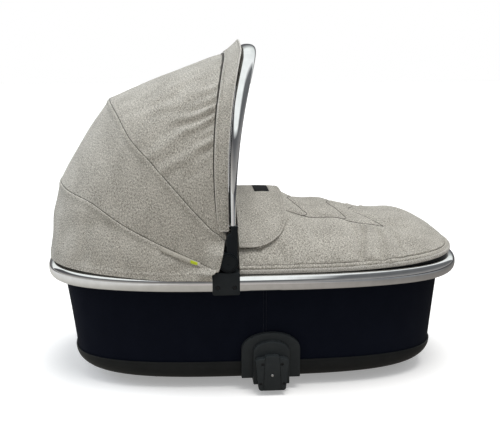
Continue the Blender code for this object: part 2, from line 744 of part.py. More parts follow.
def make_leg(side_name, side, finishes):
    face = block_faces(side)["hub"]
    outer = face + side * HUB_THICKNESS
    origin = (HINGE_X, face, HINGE_Z)
    black = finishes["black"]
    edge = HUB_EDGE
    profile = (
        (HUB_RADIUS - edge, face), (HUB_RADIUS, face + side * edge), (HUB_RADIUS, outer - side * edge),
        (HUB_RADIUS - edge, outer),
    )
    leg = turned(f"arch_leg_{side_name}", profile, HINGE_X, HINGE_Z, black)
    outline = [
        (LEG_REAR, 0), (LEG_FRONT, 0), (LEG_FRONT, LEG_HEIGHT), (LEG_REAR_TOP, LEG_HEIGHT),
        (LEG_REAR_TOP, LEG_SHOULDER_HIGH), (LEG_REAR, LEG_SHOULDER_LOW),
    ]
    outline = [(HINGE_X + x, HINGE_Z + z) for x, z in outline]
    middle = (face + outer) / 2
    near, far = middle - LEG_THICKNESS / 2, middle + LEG_THICKNESS / 2
    stem = bevel(prism(f"stem_{side_name}", outline, near, far, black), edge)
    spigot_wide = ARCH_BASE_WIDTH / 2 - ARCH_TUBE_WALL - RUNNING_GAP
    spigot_deep = ARCH_BASE_DEPTH / 2 - ARCH_TUBE_WALL - RUNNING_GAP
    path = np.array([
        (HINGE_X + ARCH_BASE_X, middle, HINGE_Z + LEG_HEIGHT - edge),
        (HINGE_X + ARCH_BASE_X, middle, HINGE_Z + LEG_HEIGHT + SPIGOT_LENGTH),
    ])
    across, out = [(1, 0, 0)] * 2, [(0, 1, 0)] * 2
    taper = np.array([1, 1 - RUNNING_GAP / spigot_wide * 2])
    spigot = oval_loops(path, np.array(across), np.array(out), spigot_wide * taper, spigot_deep * taper)
    join(leg, stem, loft(f"spigot_{side_name}", spigot, black))

    bore_radius = PIN_RADIUS + RUNNING_GAP
    bore_end = face + side * (PIN_IN_HUB + RUNNING_GAP)
    bore = ((bore_radius, face - side * CUT_OVERRUN), (bore_radius, bore_end))
    pocket_floor = outer - side * (BUTTON_DEPTH + BUTTON_TRAVEL + RUNNING_GAP - BUTTON_PROUD)
    pocket_radius = BUTTON_RADIUS + RUNNING_GAP
    pocket = ((pocket_radius, pocket_floor), (pocket_radius, outer + side * CUT_OVERRUN))
    cut(leg, turned(f"hub_bore_{side_name}", bore, HINGE_X, HINGE_Z, black))
    cut(leg, turned(f"button_pocket_{side_name}", pocket, HINGE_X, HINGE_Z, black))

    front = outer + side * BUTTON_PROUD
    back = front - side * BUTTON_DEPTH
    dish = side * BUTTON_DISH
    profile = (
        (BUTTON_RADIUS, back), (BUTTON_RADIUS, front - 2 * dish), (BUTTON_RADIUS - BUTTON_DISH, front - dish),
        (BUTTON_RADIUS - 2 * BUTTON_DISH, front), (BUTTON_RADIUS * 3 / 4, front - dish),
        (BUTTON_RADIUS / 3, front - 2 * dish),
    )
    turned(f"release_button_{side_name}", profile, HINGE_X, HINGE_Z, finishes["satin"])
    rest = side * (SEAT_GAP + SPRING_WIRE)
    ends = (pocket_floor + rest, back - rest)
    radii = [BUTTON_RADIUS * share for share in BUTTON_SPRING_SHARES]
    name = f"button_spring_{side_name}"
    coil(name, HINGE_X, HINGE_Z, ends, radii, BUTTON_SPRING_TURNS, finishes["steel"])


def make_visor(finish):
    """The wide fabric band behind the arch, held by the handle."""
    base = RAIL_Z + VISOR_BASE_ABOVE_RAIL
    arch_base = HINGE_Z + LEG_HEIGHT + SEAT_GAP
    arch_rise = RAIL_Z + ARCH_TOP_ABOVE_RAIL - arch_base
    angle = np.linspace(-QUARTER_TURN, QUARTER_TURN, DENSE_STEPS + 1)
    share = np.cos(angle) ** (2 / HOOD_ROUNDNESS)
    spread = np.sign(angle) * np.abs(np.sin(angle)) ** (2 / HOOD_ROUNDNESS)

    def rib(rear_share, inset):
        top = (1 - rear_share) * VISOR_FRONT_TOP_ABOVE_RAIL + rear_share * VISOR_REAR_TOP_ABOVE_RAIL
        z = base + (RAIL_Z + top - inset - base) * share
        climb = np.clip((z - arch_base) / arch_rise, 0, 1)
        arch_width = ARCH_BASE_WIDTH + (ARCH_TOP_WIDTH - ARCH_BASE_WIDTH) * climb**ARCH_TAPER_POWER
        x = HINGE_X + ARCH_BASE_X + ARCH_LEAN * climb**ARCH_LEAN_POWER - arch_width / 2
        x = x - STRIP_THICKNESS - VISOR_CLEARANCE
        reach = VISOR_BASE_WIDTH + (VISOR_TOP_WIDTH - VISOR_BASE_WIDTH) * climb ** (1 / VISOR_ROUNDNESS)
        y = (HOOD_HALF_WIDTH + VISOR_OUTSET - inset) * spread
        return spaced(np.column_stack([x - rear_share * reach, y, z]), RIB_STEPS)

    shares = (0.0, 1 / 3, 2 / 3, 1.0)
    outer = np.array([rib(share_back, 0) for share_back in shares])
    inner = np.array([rib(share_back, VISOR_THICKNESS) for share_back in shares])
    sheet("visor_band", outer, inner, finish, origin=(HINGE_X, 0, HINGE_Z))
    return rib


def seam_rib(foot, top, inset, count=RIB_STEPS):
    """A seam over the hood: straight from the side, and a half superellipse across it."""
    foot, top = np.array(foot), np.array(top)
    reach = top - foot
    reach = reach * (1 - inset / np.linalg.norm(reach))
    angle = np.linspace(-QUARTER_TURN, QUARTER_TURN, DENSE_STEPS + 1)
    share = np.cos(angle) ** (2 / HOOD_ROUNDNESS)
    y = (HOOD_HALF_WIDTH - inset) * np.sign(angle) * np.abs(np.sin(angle)) ** (2 / HOOD_ROUNDNESS)
    x = HINGE_X + foot[0] + reach[0] * share
    z = HINGE_Z + foot[1] + reach[1] * share
    return spaced(np.column_stack([x, y, z]), count)


def hem_rib(inset):
    """The hood's lower edge, outside the rail at the sides and above it at the head end."""
    angle = np.linspace(-QUARTER_TURN, QUARTER_TURN, DENSE_STEPS + 1)
    tip = -(RAIL_HALF_LENGTH + HEM_END_OUTSET - inset)
    x = HEM_START_X + (tip - HEM_START_X) * np.cos(angle) ** (2 / RAIL_ROUNDNESS)
    share = np.clip((x - HEM_RISE_X) / (tip - HEM_RISE_X), 0, 1)
    outset = HEM_OUTSET + (HEM_END_OUTSET - HEM_OUTSET) * share - inset
    y = np.sign(angle) * rail_half_width(x, outset)
    z = RAIL_Z + HEM_ABOVE_RAIL + HEM_END_RISE * share
    return spaced(np.column_stack([x, y, z]), RIB_STEPS)


def panel_grid(front, rear, cut_point, steps=PANEL_STEPS):
    """A fabric panel stretched between two ribs, with its free edge near the hinge curved by cut_point."""
    trim = SEAM_GAP / 2 / np.linalg.norm(rear - front, axis=1)[:, None]
    along = np.linspace(0, 1, RIB_STEPS)
    from_end = np.minimum(along, 1 - along)
    hold = np.clip(1 - from_end / CUT_REACH_SHARE, 0, 1) ** 2
    middle = (front[0] + rear[0]) / 2
    pull = np.array([HINGE_X + cut_point[0] - middle[0], 0, HINGE_Z + cut_point[1] - middle[2]])
    grid = []
    for step in np.linspace(0, 1, steps + 1):
        share = trim + (1 - 2 * trim) * step
        straight = (1 - share) * front + share * rear
        grid.append(straight + np.outer(4 * step * (1 - step) * hold, pull))
    return np.array(grid)


def make_hood(finishes, visor_rib):
    inner_inset = FABRIC_THICKNESS
    ribs = {}
    for inset in (0, inner_inset):
        rear_of_visor = visor_rib(1.0, VISOR_OUTSET + inset)
        rear_of_visor[:, 0] -= 2 * SEAT_GAP
        ribs[inset] = (
            rear_of_visor,
            seam_rib(FRONT_SEAM_FOOT, FRONT_SEAM_TOP, inset),
            seam_rib(REAR_SEAM_FOOT, REAR_SEAM_TOP, inset),
            hem_rib(inset),
        )
    panels = (("canopy_front", FRONT_CUT), ("canopy_middle", MIDDLE_CUT), ("canopy_rear", REAR_CUT))
    for index, (name, cut_point) in enumerate(panels):
        outer = panel_grid(ribs[0][index], ribs[0][index + 1], cut_point)
        inner = panel_grid(ribs[inner_inset][index], ribs[inner_inset][index + 1], cut_point)
        sheet(name, outer, inner, finishes["melange"], origin=(HINGE_X, 0, HINGE_Z))
    make_tag(outer, finishes["tape"])
    bows = (
        ("bow_front", FRONT_SEAM_FOOT, FRONT_SEAM_TOP, "front_eye"),
        ("bow_rear", REAR_SEAM_FOOT, REAR_SEAM_TOP, "rear_eye"),
    )
    for bow in bows:
        make_bow(*bow, finishes["black"])


def make_bow(name, foot, top, layer, finish):
    """A flat bow under a seam, cranked to an eye on each hinge pin."""
    inset = FABRIC_THICKNESS + BOW_CLEARANCE + BOW_THICKNESS / 2
    line = seam_rib(foot, top, inset, BOW_STEPS)
    eye_y = block_faces(1)[layer] + EYE_THICKNESS / 2
    line[0, 1], line[-1, 1] = -eye_y, eye_y
    ends = np.array([(HINGE_X, -eye_y, HINGE_Z), (HINGE_X, eye_y, HINGE_Z)])
    line = np.concatenate([ends[:1], line, ends[1:]])
    reach = np.subtract(top, foot)
    flat = np.array([reach[1], 0, -reach[0]]) / np.linalg.norm(reach)
    loops = []
    for point, along in zip(line, directions(line)):
        thick = np.cross(flat, along)
        thick /= np.linalg.norm(thick)
        half_wide, half_thick = BOW_WIDTH / 2, BOW_THICKNESS / 2
        corners = (
            (-half_wide, -half_thick), (half_wide, -half_thick),
            (half_wide, half_thick), (-half_wide, half_thick),
        )
        loops.append(np.array([point + a * flat + b * thick for a, b in corners]))
    bow = loft(name, loops, finish, origin=(HINGE_X, 0, HINGE_Z))
    for side_name, side in SIDES:
        near = block_faces(side)[layer]
        far = near + side * EYE_THICKNESS
        profile = ((EYE_RADIUS, near), (EYE_RADIUS, far))
        join(bow, turned(f"{name}_eye_{side_name}", profile, HINGE_X, HINGE_Z, finish))
        radius = PIN_RADIUS + RUNNING_GAP
        overrun = side * CUT_OVERRUN
        profile = ((radius, near - overrun), (radius, far + overrun))
        cut(bow, turned(f"{name}_hole_{side_name}", profile, HINGE_X, HINGE_Z, finish))


def make_tag(panel, finish):
    """The plain ribbon on the rear panel, along the seam on the right side."""
    right = panel[:2, :RIB_STEPS // 2]
    stations = np.arange(right.shape[1])
    ends = np.interp((-TAG_END_X, -TAG_START_X), -right[0, :, 0], stations)
    wanted = np.linspace(*ends, CURVE_STEPS + 1)
    seam, below = (
        np.column_stack([np.interp(wanted, stations, axis) for axis in row.T]) for row in right
    )
    down = (below - seam) / np.linalg.norm(below - seam, axis=1, keepdims=True)
    along = directions(seam)
    out = np.cross(along, down)
    out *= -np.sign(out[:, 1:2]) / np.linalg.norm(out, axis=1, keepdims=True)
    outer, inner = [], []
    for share in (0.0, 0.5, 1.0):
        row = seam + (TAG_BELOW_SEAM + TAG_WIDTH * share) * down
        inner.append(row + TAG_CLEARANCE * out)
        outer.append(row + (TAG_CLEARANCE + TAG_THICKNESS) * out)
    sheet("seam_tag", np.array(outer), np.array(inner), finish, origin=(HINGE_X, 0, HINGE_Z))


def crest_share(share):
    """Height of the apron's crest along it, smoothly through the chosen shares."""
    spots, levels = np.array(APRON_CREST_SHARES).T
    slopes = np.gradient(levels, spots)
    index = np.clip(np.searchsorted(spots, share, side="right") - 1, 0, len(spots) - 2)
    width = spots[index + 1] - spots[index]
    t = (share - spots[index]) / width
    start = levels[index] * (1 + 2 * t) * (1 - t) ** 2 + slopes[index] * width * t * (1 - t) ** 2
    end = levels[index + 1] * t**2 * (3 - 2 * t) + slopes[index + 1] * width * t**2 * (t - 1)
    return np.clip(start + end, 0, 1)


def apron_point(x, side_share, drop=0.0, inset=0.0):
    """A point of the apron's top face, or of a face that far under it."""
    half_length = RAIL_HALF_LENGTH + APRON_OUTSET
    reach = (x - APRON_FRONT_X) / (half_length - APRON_FRONT_X)
    y = side_share * (rail_half_width(x, APRON_OUTSET) - inset)
    dome = np.clip(1 - np.abs(side_share) ** APRON_SIDE_POWER, 0, 1) ** APRON_DOME_POWER
    rise = np.maximum(APRON_HEIGHT * crest_share(reach) * dome + APRON_EDGE - drop, 0)
    return np.array([x, y, rim_top(x) + SEAT_GAP + rise])


def make_apron(finish):
    half_length = RAIL_HALF_LENGTH + APRON_OUTSET
    tip = APRON_FRONT_X + (half_length - APRON_FRONT_X) * APRON_TIP_SHARE
    turns = np.linspace(0, QUARTER_TURN, CREST_STEPS + 1)
    xs = APRON_FRONT_X + (tip - APRON_FRONT_X) * np.sin(turns)
    angles = np.linspace(-QUARTER_TURN, QUARTER_TURN, CROSS_STEPS)
    shares = np.sin(angles)
    shrink = (tip - APRON_SEAT - APRON_FRONT_X) / (tip - APRON_FRONT_X)
    outer, inner = [], []
    for x in xs:
        top = [apron_point(x, share) for share in shares]
        edge = [apron_point(x, share, APRON_EDGE) for share in (-1, 1)]
        outer.append([edge[0], *top, edge[1]])
        inner_x = APRON_FRONT_X + shrink * (x - APRON_FRONT_X)
        room = rail_half_width(inner_x, APRON_OUTSET)
        inset = min(APRON_SEAT, room / 2)
        under = [apron_point(inner_x, share, APRON_THICKNESS, inset) for share in shares]
        foot = [apron_point(inner_x, share, APRON_THICKNESS, inset / 2) for share in (-1, 1)]
        inner.append([foot[0], *under, foot[1]])
    return sheet("apron", np.array(outer), np.array(inner), finish)


def flap_grid(shares_across, shares_along, lift):
    """Points lifted off the apron along its own normals, over the area of the wind flap."""
    grid = []
    step = APRON_THICKNESS
    for share in shares_across:
        length = FLAP_LENGTH * (1 - abs(share) ** FLAP_CORNER_POWER) ** (1 / 3)
        row = []
        for along in shares_along:
            x = APRON_FRONT_X + length * along
            spot = share * FLAP_SIDE_SHARE
            here = apron_point(x, spot)
            ahead = apron_point(x + step, spot) - here
            nudge = step / APRON_HEIGHT / 4
            across = apron_point(x, spot + nudge) - apron_point(x, spot - nudge)
            normal = np.cross(ahead, across)
            row.append(here + lift * normal / np.linalg.norm(normal))
        grid.append(row)
    return np.array(grid)


def make_flap(finishes):
    edge = 1 - APRON_EDGE / FLAP_LENGTH / 4
    across = np.sin(np.linspace(-QUARTER_TURN, QUARTER_TURN, CROSS_STEPS)) * edge
    along = np.linspace(0, 1, CURVE_STEPS + 2)
    crest = apron_point(APRON_FRONT_X, 0)
    origin = (APRON_FRONT_X, 0, crest[2] + FLAP_LIFT)
    under = flap_grid(across, along, FLAP_LIFT)
    top = flap_grid(across, along, FLAP_LIFT + FLAP_THICKNESS)
    sheet("wind_flap", top, under, finishes["melange"], origin=origin)

    half_width = rail_half_width(APRON_FRONT_X, APRON_OUTSET) * FLAP_SIDE_SHARE
    sides = (-LABEL_WIDTH / 2 / half_width, LABEL_WIDTH / 2 / half_width)
    ends = (LABEL_FROM_FRONT / FLAP_LENGTH, (LABEL_FROM_FRONT + LABEL_LENGTH) / FLAP_LENGTH)
    across, along = np.linspace(*sides, 3), np.linspace(*ends, 3)
    base = FLAP_LIFT + FLAP_THICKNESS + 2 * SEAT_GAP
    label_top = flap_grid(across, along, base + LABEL_THICKNESS)
    sheet("label_patch", label_top, flap_grid(across, along, base), finishes["black"], origin=origin)


def tub_clearance(finish):
    """The space that the tub's wall and tray take, with the seat gap round it."""
    turns = np.linspace(QUARTER_TURN, 0, CURVE_STEPS + 1)
    loops = [tray_loop(turn, SEAT_GAP) for turn in turns]
    loops.append(raised(tray_outline(0, 0, SEAT_GAP), TRAY_TOP_Z + SEAT_GAP))
    for z in (TRAY_TOP_Z + 2 * SEAT_GAP, RAIL_Z - RIM_DEPTH):
        loops.append(raised(tub_outline(z, -SEAT_GAP), z))
    helper = loft("tub_clearance", loops, finish)
    helper.hide_render = True
    return helper


def make_adapter(side_name, side, finishes, clearance):
    black = finishes["black"]
    root = side * (RAIL_HALF_WIDTH - ADAPTER_ROOT_INSET)
    face = side * (RAIL_HALF_WIDTH - FLANGE_FACE_INSET)
    origin = (ADAPTER_X, root, RAIL_Z)
    flange = arched(FLANGE_WIDTH / 2, FLANGE_SPRING_Z, FLANGE_TOP_Z, FLANGE_BOTTOM_Z, ADAPTER_X)
    housing = prism(f"adapter_housing_{side_name}", flange, root, face, black, origin)
    bevel(housing, ADAPTER_EDGE)
    outline = arched(BOSS_WIDTH / 2, BOSS_SPRING_Z, BOSS_TOP_Z, BOSS_BOTTOM_Z, ADAPTER_X)
    boss = prism(f"boss_{side_name}", outline, root + side * SEAT_GAP, side * BOSS_FACE_Y, black)
    cut(join(housing, bevel(boss, ADAPTER_EDGE)), clearance)
    make_plug(side_name, side, finishes)


def plug_outline():
    """The plug from the side: a raised arc over the centre panel, sloping shoulders, tapered sides."""
    panel, top, bottom = PANEL_TOP_WIDTH / 2, PLUG_TOP_WIDTH / 2, PLUG_BOTTOM_WIDTH / 2
    foot = PLUG_FOOT_RADIUS
    half = [
        (0, PLUG_TOP_Z), (panel / 2, PLUG_TOP_Z - PLUG_PANEL_STEP / 8),
        (panel, PLUG_TOP_Z - PLUG_PANEL_STEP / 2), (panel, PLUG_TOP_Z - PLUG_PANEL_STEP),
        ((panel + top) / 2, (PLUG_TOP_Z - PLUG_PANEL_STEP + PLUG_SHOULDER_Z) / 2 + PLUG_PANEL_STEP / 4),
        (top, PLUG_SHOULDER_Z), (bottom, PLUG_BOTTOM_Z + foot),
    ]
    for angle in np.linspace(0, QUARTER_TURN, CURVE_STEPS - 1)[1:]:
        sine, cosine = math.sin(angle), math.cos(angle)
        half.append((bottom - foot * (1 - cosine), PLUG_BOTTOM_Z + foot * (1 - sine)))
    mirrored = [(-x, z) for x, z in half[:0:-1]]
    return [(ADAPTER_X + x, z) for x, z in half + mirrored]


def make_plug(side_name, side, finishes):
    black = finishes["black"]
    back, face = side * (BOSS_FACE_Y + SEAT_GAP), side * PLUG_FACE_Y
    beyond = side * CUT_OVERRUN
    origin = (ADAPTER_X, back, LATCH_Z)
    plug = prism(f"adapter_plug_{side_name}", plug_outline(), back, face, black, origin)
    bevel(plug, ADAPTER_EDGE / 2, 1)
    groove_floor = face - side * GROOVE_DEPTH
    for end_name, end in (("head", -1), ("foot", 1)):
        top_x, bottom_x = end * PANEL_TOP_WIDTH / 2, end * PANEL_BOTTOM_WIDTH / 2
        half, above, below = GROOVE_WIDTH / 2, PLUG_TOP_Z + CUT_OVERRUN, PLUG_BOTTOM_Z - CUT_OVERRUN
        outline = [
            (top_x - half, above), (top_x + half, above), (bottom_x + half, below), (bottom_x - half, below),
        ]
        outline = [(ADAPTER_X + x, z) for x, z in outline]
        cut(plug, prism(f"groove_{end_name}_{side_name}", outline, groove_floor, face + beyond, black))
        for level, (across, z) in (("top", PLUG_SCREW_TOP), ("bottom", PLUG_SCREW_BOTTOM)):
            recess = ((SCREW_RADIUS, face - side * SCREW_RECESS), (SCREW_RADIUS, face + beyond))
            name = f"plug_recess_{level}_{end_name}_{side_name}"
            cut(plug, turned(name, recess, ADAPTER_X + end * across, z, black, CIRCLE_STEPS // 2))

    wall = face - side * LATCH_FRONT_WALL
    hole_radius, pocket_radius = LATCH_RADIUS + RUNNING_GAP, LATCH_COLLAR_RADIUS + RUNNING_GAP
    hole = (
        (pocket_radius, back - beyond), (pocket_radius, wall),
        (hole_radius, wall), (hole_radius, face + beyond),
    )
    cut(plug, turned(f"latch_hole_{side_name}", hole, ADAPTER_X, LATCH_Z, black))
    collar = wall - side * SEAT_GAP
    tip = face + side * LATCH_PROUD
    profile = (
        (LATCH_COLLAR_RADIUS, collar - side * LATCH_COLLAR), (LATCH_COLLAR_RADIUS, collar),
        (LATCH_RADIUS, collar), (LATCH_RADIUS, tip - side * LATCH_PROUD / 2), (LATCH_RADIUS / 2, tip),
    )
    turned(f"latch_pin_{side_name}", profile, ADAPTER_X, LATCH_Z, finishes["steel"])
    rest = side * (SEAT_GAP + SPRING_WIRE)
    ends = (side * BOSS_FACE_Y + rest, collar - side * LATCH_COLLAR - rest)
    radii = (LATCH_RADIUS, LATCH_RADIUS)
    name = f"latch_spring_{side_name}"
    coil(name, ADAPTER_X, LATCH_Z, ends, radii, LATCH_SPRING_TURNS, finishes["steel"])


def main():
    for item in list(bpy.data.objects):
        bpy.data.objects.remove(item)
    finishes = {
        "chrome": material("chrome", (0.80, 0.81, 0.82), 0.06, 1.0),
        "steel": material("steel", (0.62, 0.63, 0.65), 0.25, 1.0),
        "dark_steel": material("dark_steel", (0.05, 0.05, 0.055), 0.35, 1.0),
        "black": material("black_plastic", (0.018, 0.019, 0.021), 0.45),
        "satin": material("satin_black", (0.022, 0.024, 0.027), 0.35),
        "navy": material("navy_fabric", (0.006, 0.008, 0.020), 0.85),
        "melange": material("melange_fabric", (0.36, 0.33, 0.30), 0.95),
        "lining": material("lining_fabric", (0.52, 0.52, 0.53), 0.95),
        "cotton": material("white_cotton", (0.78, 0.78, 0.77), 0.9),
        "board": material("hardboard", (0.22, 0.15, 0.09), 0.8),
        "tape": material("ribbon", (0.50, 0.48, 0.44), 0.85),
    }
    make_rail(finishes["chrome"])
    make_rim(finishes["black"])
    make_tray(finishes["black"])
    make_tub(finishes)
    make_arch(finishes)
    visor_rib = make_visor(finishes["melange"])
    make_hood(finishes, visor_rib)
    make_apron(finishes["melange"])
    make_flap(finishes)
    clearance = tub_clearance(finishes["black"])
    for side_name, side in SIDES:
        make_hinge(side_name, side, finishes)
        make_leg(side_name, side, finishes)
        make_adapter(side_name, side, finishes, clearance)


main()
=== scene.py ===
"""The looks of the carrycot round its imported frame: chrome, moulded plastic, woven covers and the studio.

Metres, +Z up, +X to the foot end, -Y to the right side, as in the frame. "outset" is measured outwards
from the centreline of the rail, seen from above, and a share runs from 0 to 1.
"""

import json
import math

import bmesh
import bpy
import numpy as np
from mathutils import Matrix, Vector, noise


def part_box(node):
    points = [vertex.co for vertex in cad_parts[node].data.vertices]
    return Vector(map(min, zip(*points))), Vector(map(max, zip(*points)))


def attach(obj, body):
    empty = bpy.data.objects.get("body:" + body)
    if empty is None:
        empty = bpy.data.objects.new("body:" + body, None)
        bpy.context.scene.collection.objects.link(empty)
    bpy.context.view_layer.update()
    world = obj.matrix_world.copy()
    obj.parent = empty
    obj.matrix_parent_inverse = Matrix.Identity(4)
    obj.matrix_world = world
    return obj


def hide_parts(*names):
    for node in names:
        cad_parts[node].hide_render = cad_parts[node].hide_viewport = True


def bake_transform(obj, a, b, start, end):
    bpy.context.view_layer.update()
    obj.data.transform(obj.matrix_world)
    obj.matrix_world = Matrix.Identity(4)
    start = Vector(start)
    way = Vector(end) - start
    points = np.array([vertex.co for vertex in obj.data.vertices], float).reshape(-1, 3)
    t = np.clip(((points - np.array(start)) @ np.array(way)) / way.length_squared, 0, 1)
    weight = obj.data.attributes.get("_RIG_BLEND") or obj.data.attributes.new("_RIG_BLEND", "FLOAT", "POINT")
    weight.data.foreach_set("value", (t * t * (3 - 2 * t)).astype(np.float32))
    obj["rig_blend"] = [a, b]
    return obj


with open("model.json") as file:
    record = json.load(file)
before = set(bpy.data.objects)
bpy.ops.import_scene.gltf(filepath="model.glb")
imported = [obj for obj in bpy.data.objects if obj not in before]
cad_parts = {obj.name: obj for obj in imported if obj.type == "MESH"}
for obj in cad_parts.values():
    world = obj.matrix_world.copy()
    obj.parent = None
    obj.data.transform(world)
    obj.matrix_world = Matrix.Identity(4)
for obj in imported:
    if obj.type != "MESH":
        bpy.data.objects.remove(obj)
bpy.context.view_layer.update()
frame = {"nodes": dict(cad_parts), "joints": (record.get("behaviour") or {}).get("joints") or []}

# Sizes that the frame's own pieces have
SIDES = (("right", -1), ("left", 1))
HINGE_X, _, HINGE_Z = next(j["pos_m"] for j in frame["joints"] if j["name"] == "handle_fold")
GAP = 0.0003
RAIL_Z = 0.225
RAIL_HALF_LENGTH = 0.411
RAIL_HALF_WIDTH = 0.211
RAIL_ROUNDNESS = 2.9
RAIL_TUBE_WIDTH = 0.028
RAIL_TUBE_HEIGHT = 0.033
RAIL_SECTION_POWER = 2.25
BLOCK_X = HINGE_X - 0.0045
RIM_OUTSET = -0.0145
RIM_LIP = 0.012
RIM_WALL = 0.010
RIM_DEPTH = 0.010
TRAY_TOP_Z = 0.057
TRAY_HALF_LENGTH = 0.376
TRAY_HALF_WIDTH = 0.187
TRAY_ROUNDNESS = 3.2
TRAY_DEPTH = 0.0375
TRAY_WALL = 0.003
TUB_TOP_INSET = 0.021
TUB_WALL = 0.004
MATTRESS_Z = 0.0271
MATTRESS_TOP_Z = 0.0711
LEG_LENGTH = 0.070
LEG_TOP_Z = HINGE_Z + LEG_LENGTH
ARCH_FOOT_Z = LEG_TOP_Z + GAP
ARCH_TOP_Z = RAIL_Z + 0.4336
ARCH_FORWARD = 0.0092
ARCH_LEAN = 0.044
ARCH_WIDTHS = (0.0100, 0.0310)
ARCH_DEPTHS = (0.0140, 0.0210)
ARCH_ROUNDNESS = 2.3
ARCH_SECTION_POWER = 2.4
VISOR_BASE_Z = RAIL_Z + 0.1045
VISOR_ROUNDNESS = 2.86
STRIP_THICKNESS = 0.0015
VISOR_CLEARANCE = 0.0015
HOOD_HALF_WIDTH = 0.2135
HOOD_ROUNDNESS = 2.4
APRON_FRONT_X = -0.0430
APRON_OUTSET = 0.002
APRON_EDGE = 0.006
APRON_HEIGHT = 0.118
APRON_CREST_SHARES = (
    (0.00, 1.00), (0.20, 0.947), (0.284, 0.833), (0.331, 0.780), (0.394, 0.777), (0.457, 0.758),
    (0.52, 0.668), (0.60, 0.612), (0.684, 0.560), (0.746, 0.553), (0.80, 0.510), (0.83, 0.465),
    (0.90, 0.30), (0.96, 0.13), (1.00, 0.00),
)
FLAP_LENGTH = 0.098
FLAP_SIDE_SHARE = 0.903
HUB_RADIUS = 0.019
BUTTON_RADIUS = 0.0150
ADAPTER_X = 0.0190
LATCH_Z = 0.0420
PLUG_HALF_WIDTH = 0.01375

# The studio
FLOOR_GLOW = 0.30
SUNS = (
    ("soft_sun", (0.12, -0.20, 0.97), 1.55, 30, (1.0, 0.985, 0.96)),
    ("cool_back", (-0.86, 0.30, 0.42), 1.05, 40, (0.80, 0.90, 1.0)),
)

# Fineness
OUTLINE_STEPS = 288
DENSE_STEPS = 4800
RIB_STEPS = 321
END_CROWDING = 0.6
SMOOTH_ANGLE = math.radians(35)
QUARTER_TURN = math.pi / 2
HALF_TURN = np.linspace(-QUARTER_TURN, QUARTER_TURN, DENSE_STEPS + 1)
THREAD_RADIUS = 0.00034
STITCH_LENGTH = 0.0032
STITCH_PITCH = 0.0048


def node(tree, kind, *links, **settings):
    """Adds a shader node. links are (input, socket or value) pairs, settings are its properties."""
    made = tree.nodes.new("ShaderNode" + kind)
    for key, value in settings.items():
        setattr(made, key, value)
    for socket, value in links:
        if isinstance(value, bpy.types.NodeSocket):
            tree.links.new(value, made.inputs[socket])
        else:
            made.inputs[socket].default_value = value
    return made


def maths(tree, operation, first, second=0.0):
    """The result of a maths node."""
    return node(tree, "Math", (0, first), (1, second), operation=operation).outputs[0]


def ranged(tree, value, low, high, to_low=0.0, to_high=1.0):
    """A value moved from one range to another and held inside it."""
    return node(
        tree, "MapRange", ("Value", value), ("From Min", low), ("From Max", high),
        ("To Min", to_low), ("To Max", to_high),
    ).outputs[0]


def finish(name, colour, roughness, **values):
    """A material with its tree and shader; values are the shader's own constants."""
    made = bpy.data.materials.new(name)
    made.use_nodes = True
    tree = made.node_tree
    shader = tree.nodes["Principled BSDF"]
    shader.inputs["Base Color"].default_value = (*colour, 1)
    shader.inputs["Roughness"].default_value = roughness
    for key, value in values.items():
        shader.inputs[key.replace("_", " ")].default_value = value
    return made, tree, shader


def place(tree, source, scale):
    """Coordinates divided by sizes in metres: from the weave's own map, or from the object."""
    if source == "weave":
        start = node(tree, "UVMap", uv_map="Weave").outputs[0]
    else:
        start = node(tree, "TexCoord").outputs["Object"]
    sizes = tuple(1 / size for size in scale)
    return node(tree, "Mapping", ("Vector", start), ("Scale", sizes)).outputs[0]


def speckle(tree, vector, detail, rough=0.5):
    """Soft noise of size 1 in the vector's units."""
    return node(
        tree, "TexNoise", ("Vector", vector), ("Scale", 1.0), ("Detail", detail), ("Roughness", rough),
    ).outputs[0]


def graded(tree, value, stops):
    """A colour ramp through (place, colour) stops."""
    ramp = node(tree, "ValToRGB", ("Fac", value))
    elements = ramp.color_ramp.elements
    while len(elements) < len(stops):
        elements.new(0.5)
    for element, (spot, colour) in zip(elements, stops):
        element.position = spot
        element.color = (*colour, 1)
    return ramp.outputs[0]


def bumped(tree, shader, height, distance):
    """Lets a height shade the surface as bumps of a size in metres."""
    bump = node(tree, "Bump", ("Height", height), ("Distance", distance), ("Strength", 1.0))
    tree.links.new(bump.outputs[0], shader.inputs["Normal"])


FLECK_WIDTH = 1.3
FLECK_LENGTH = 3.4
BLOTCH_SIZES = (0.035, 0.05, 0.035)
BLOTCH_STRENGTH = 0.12


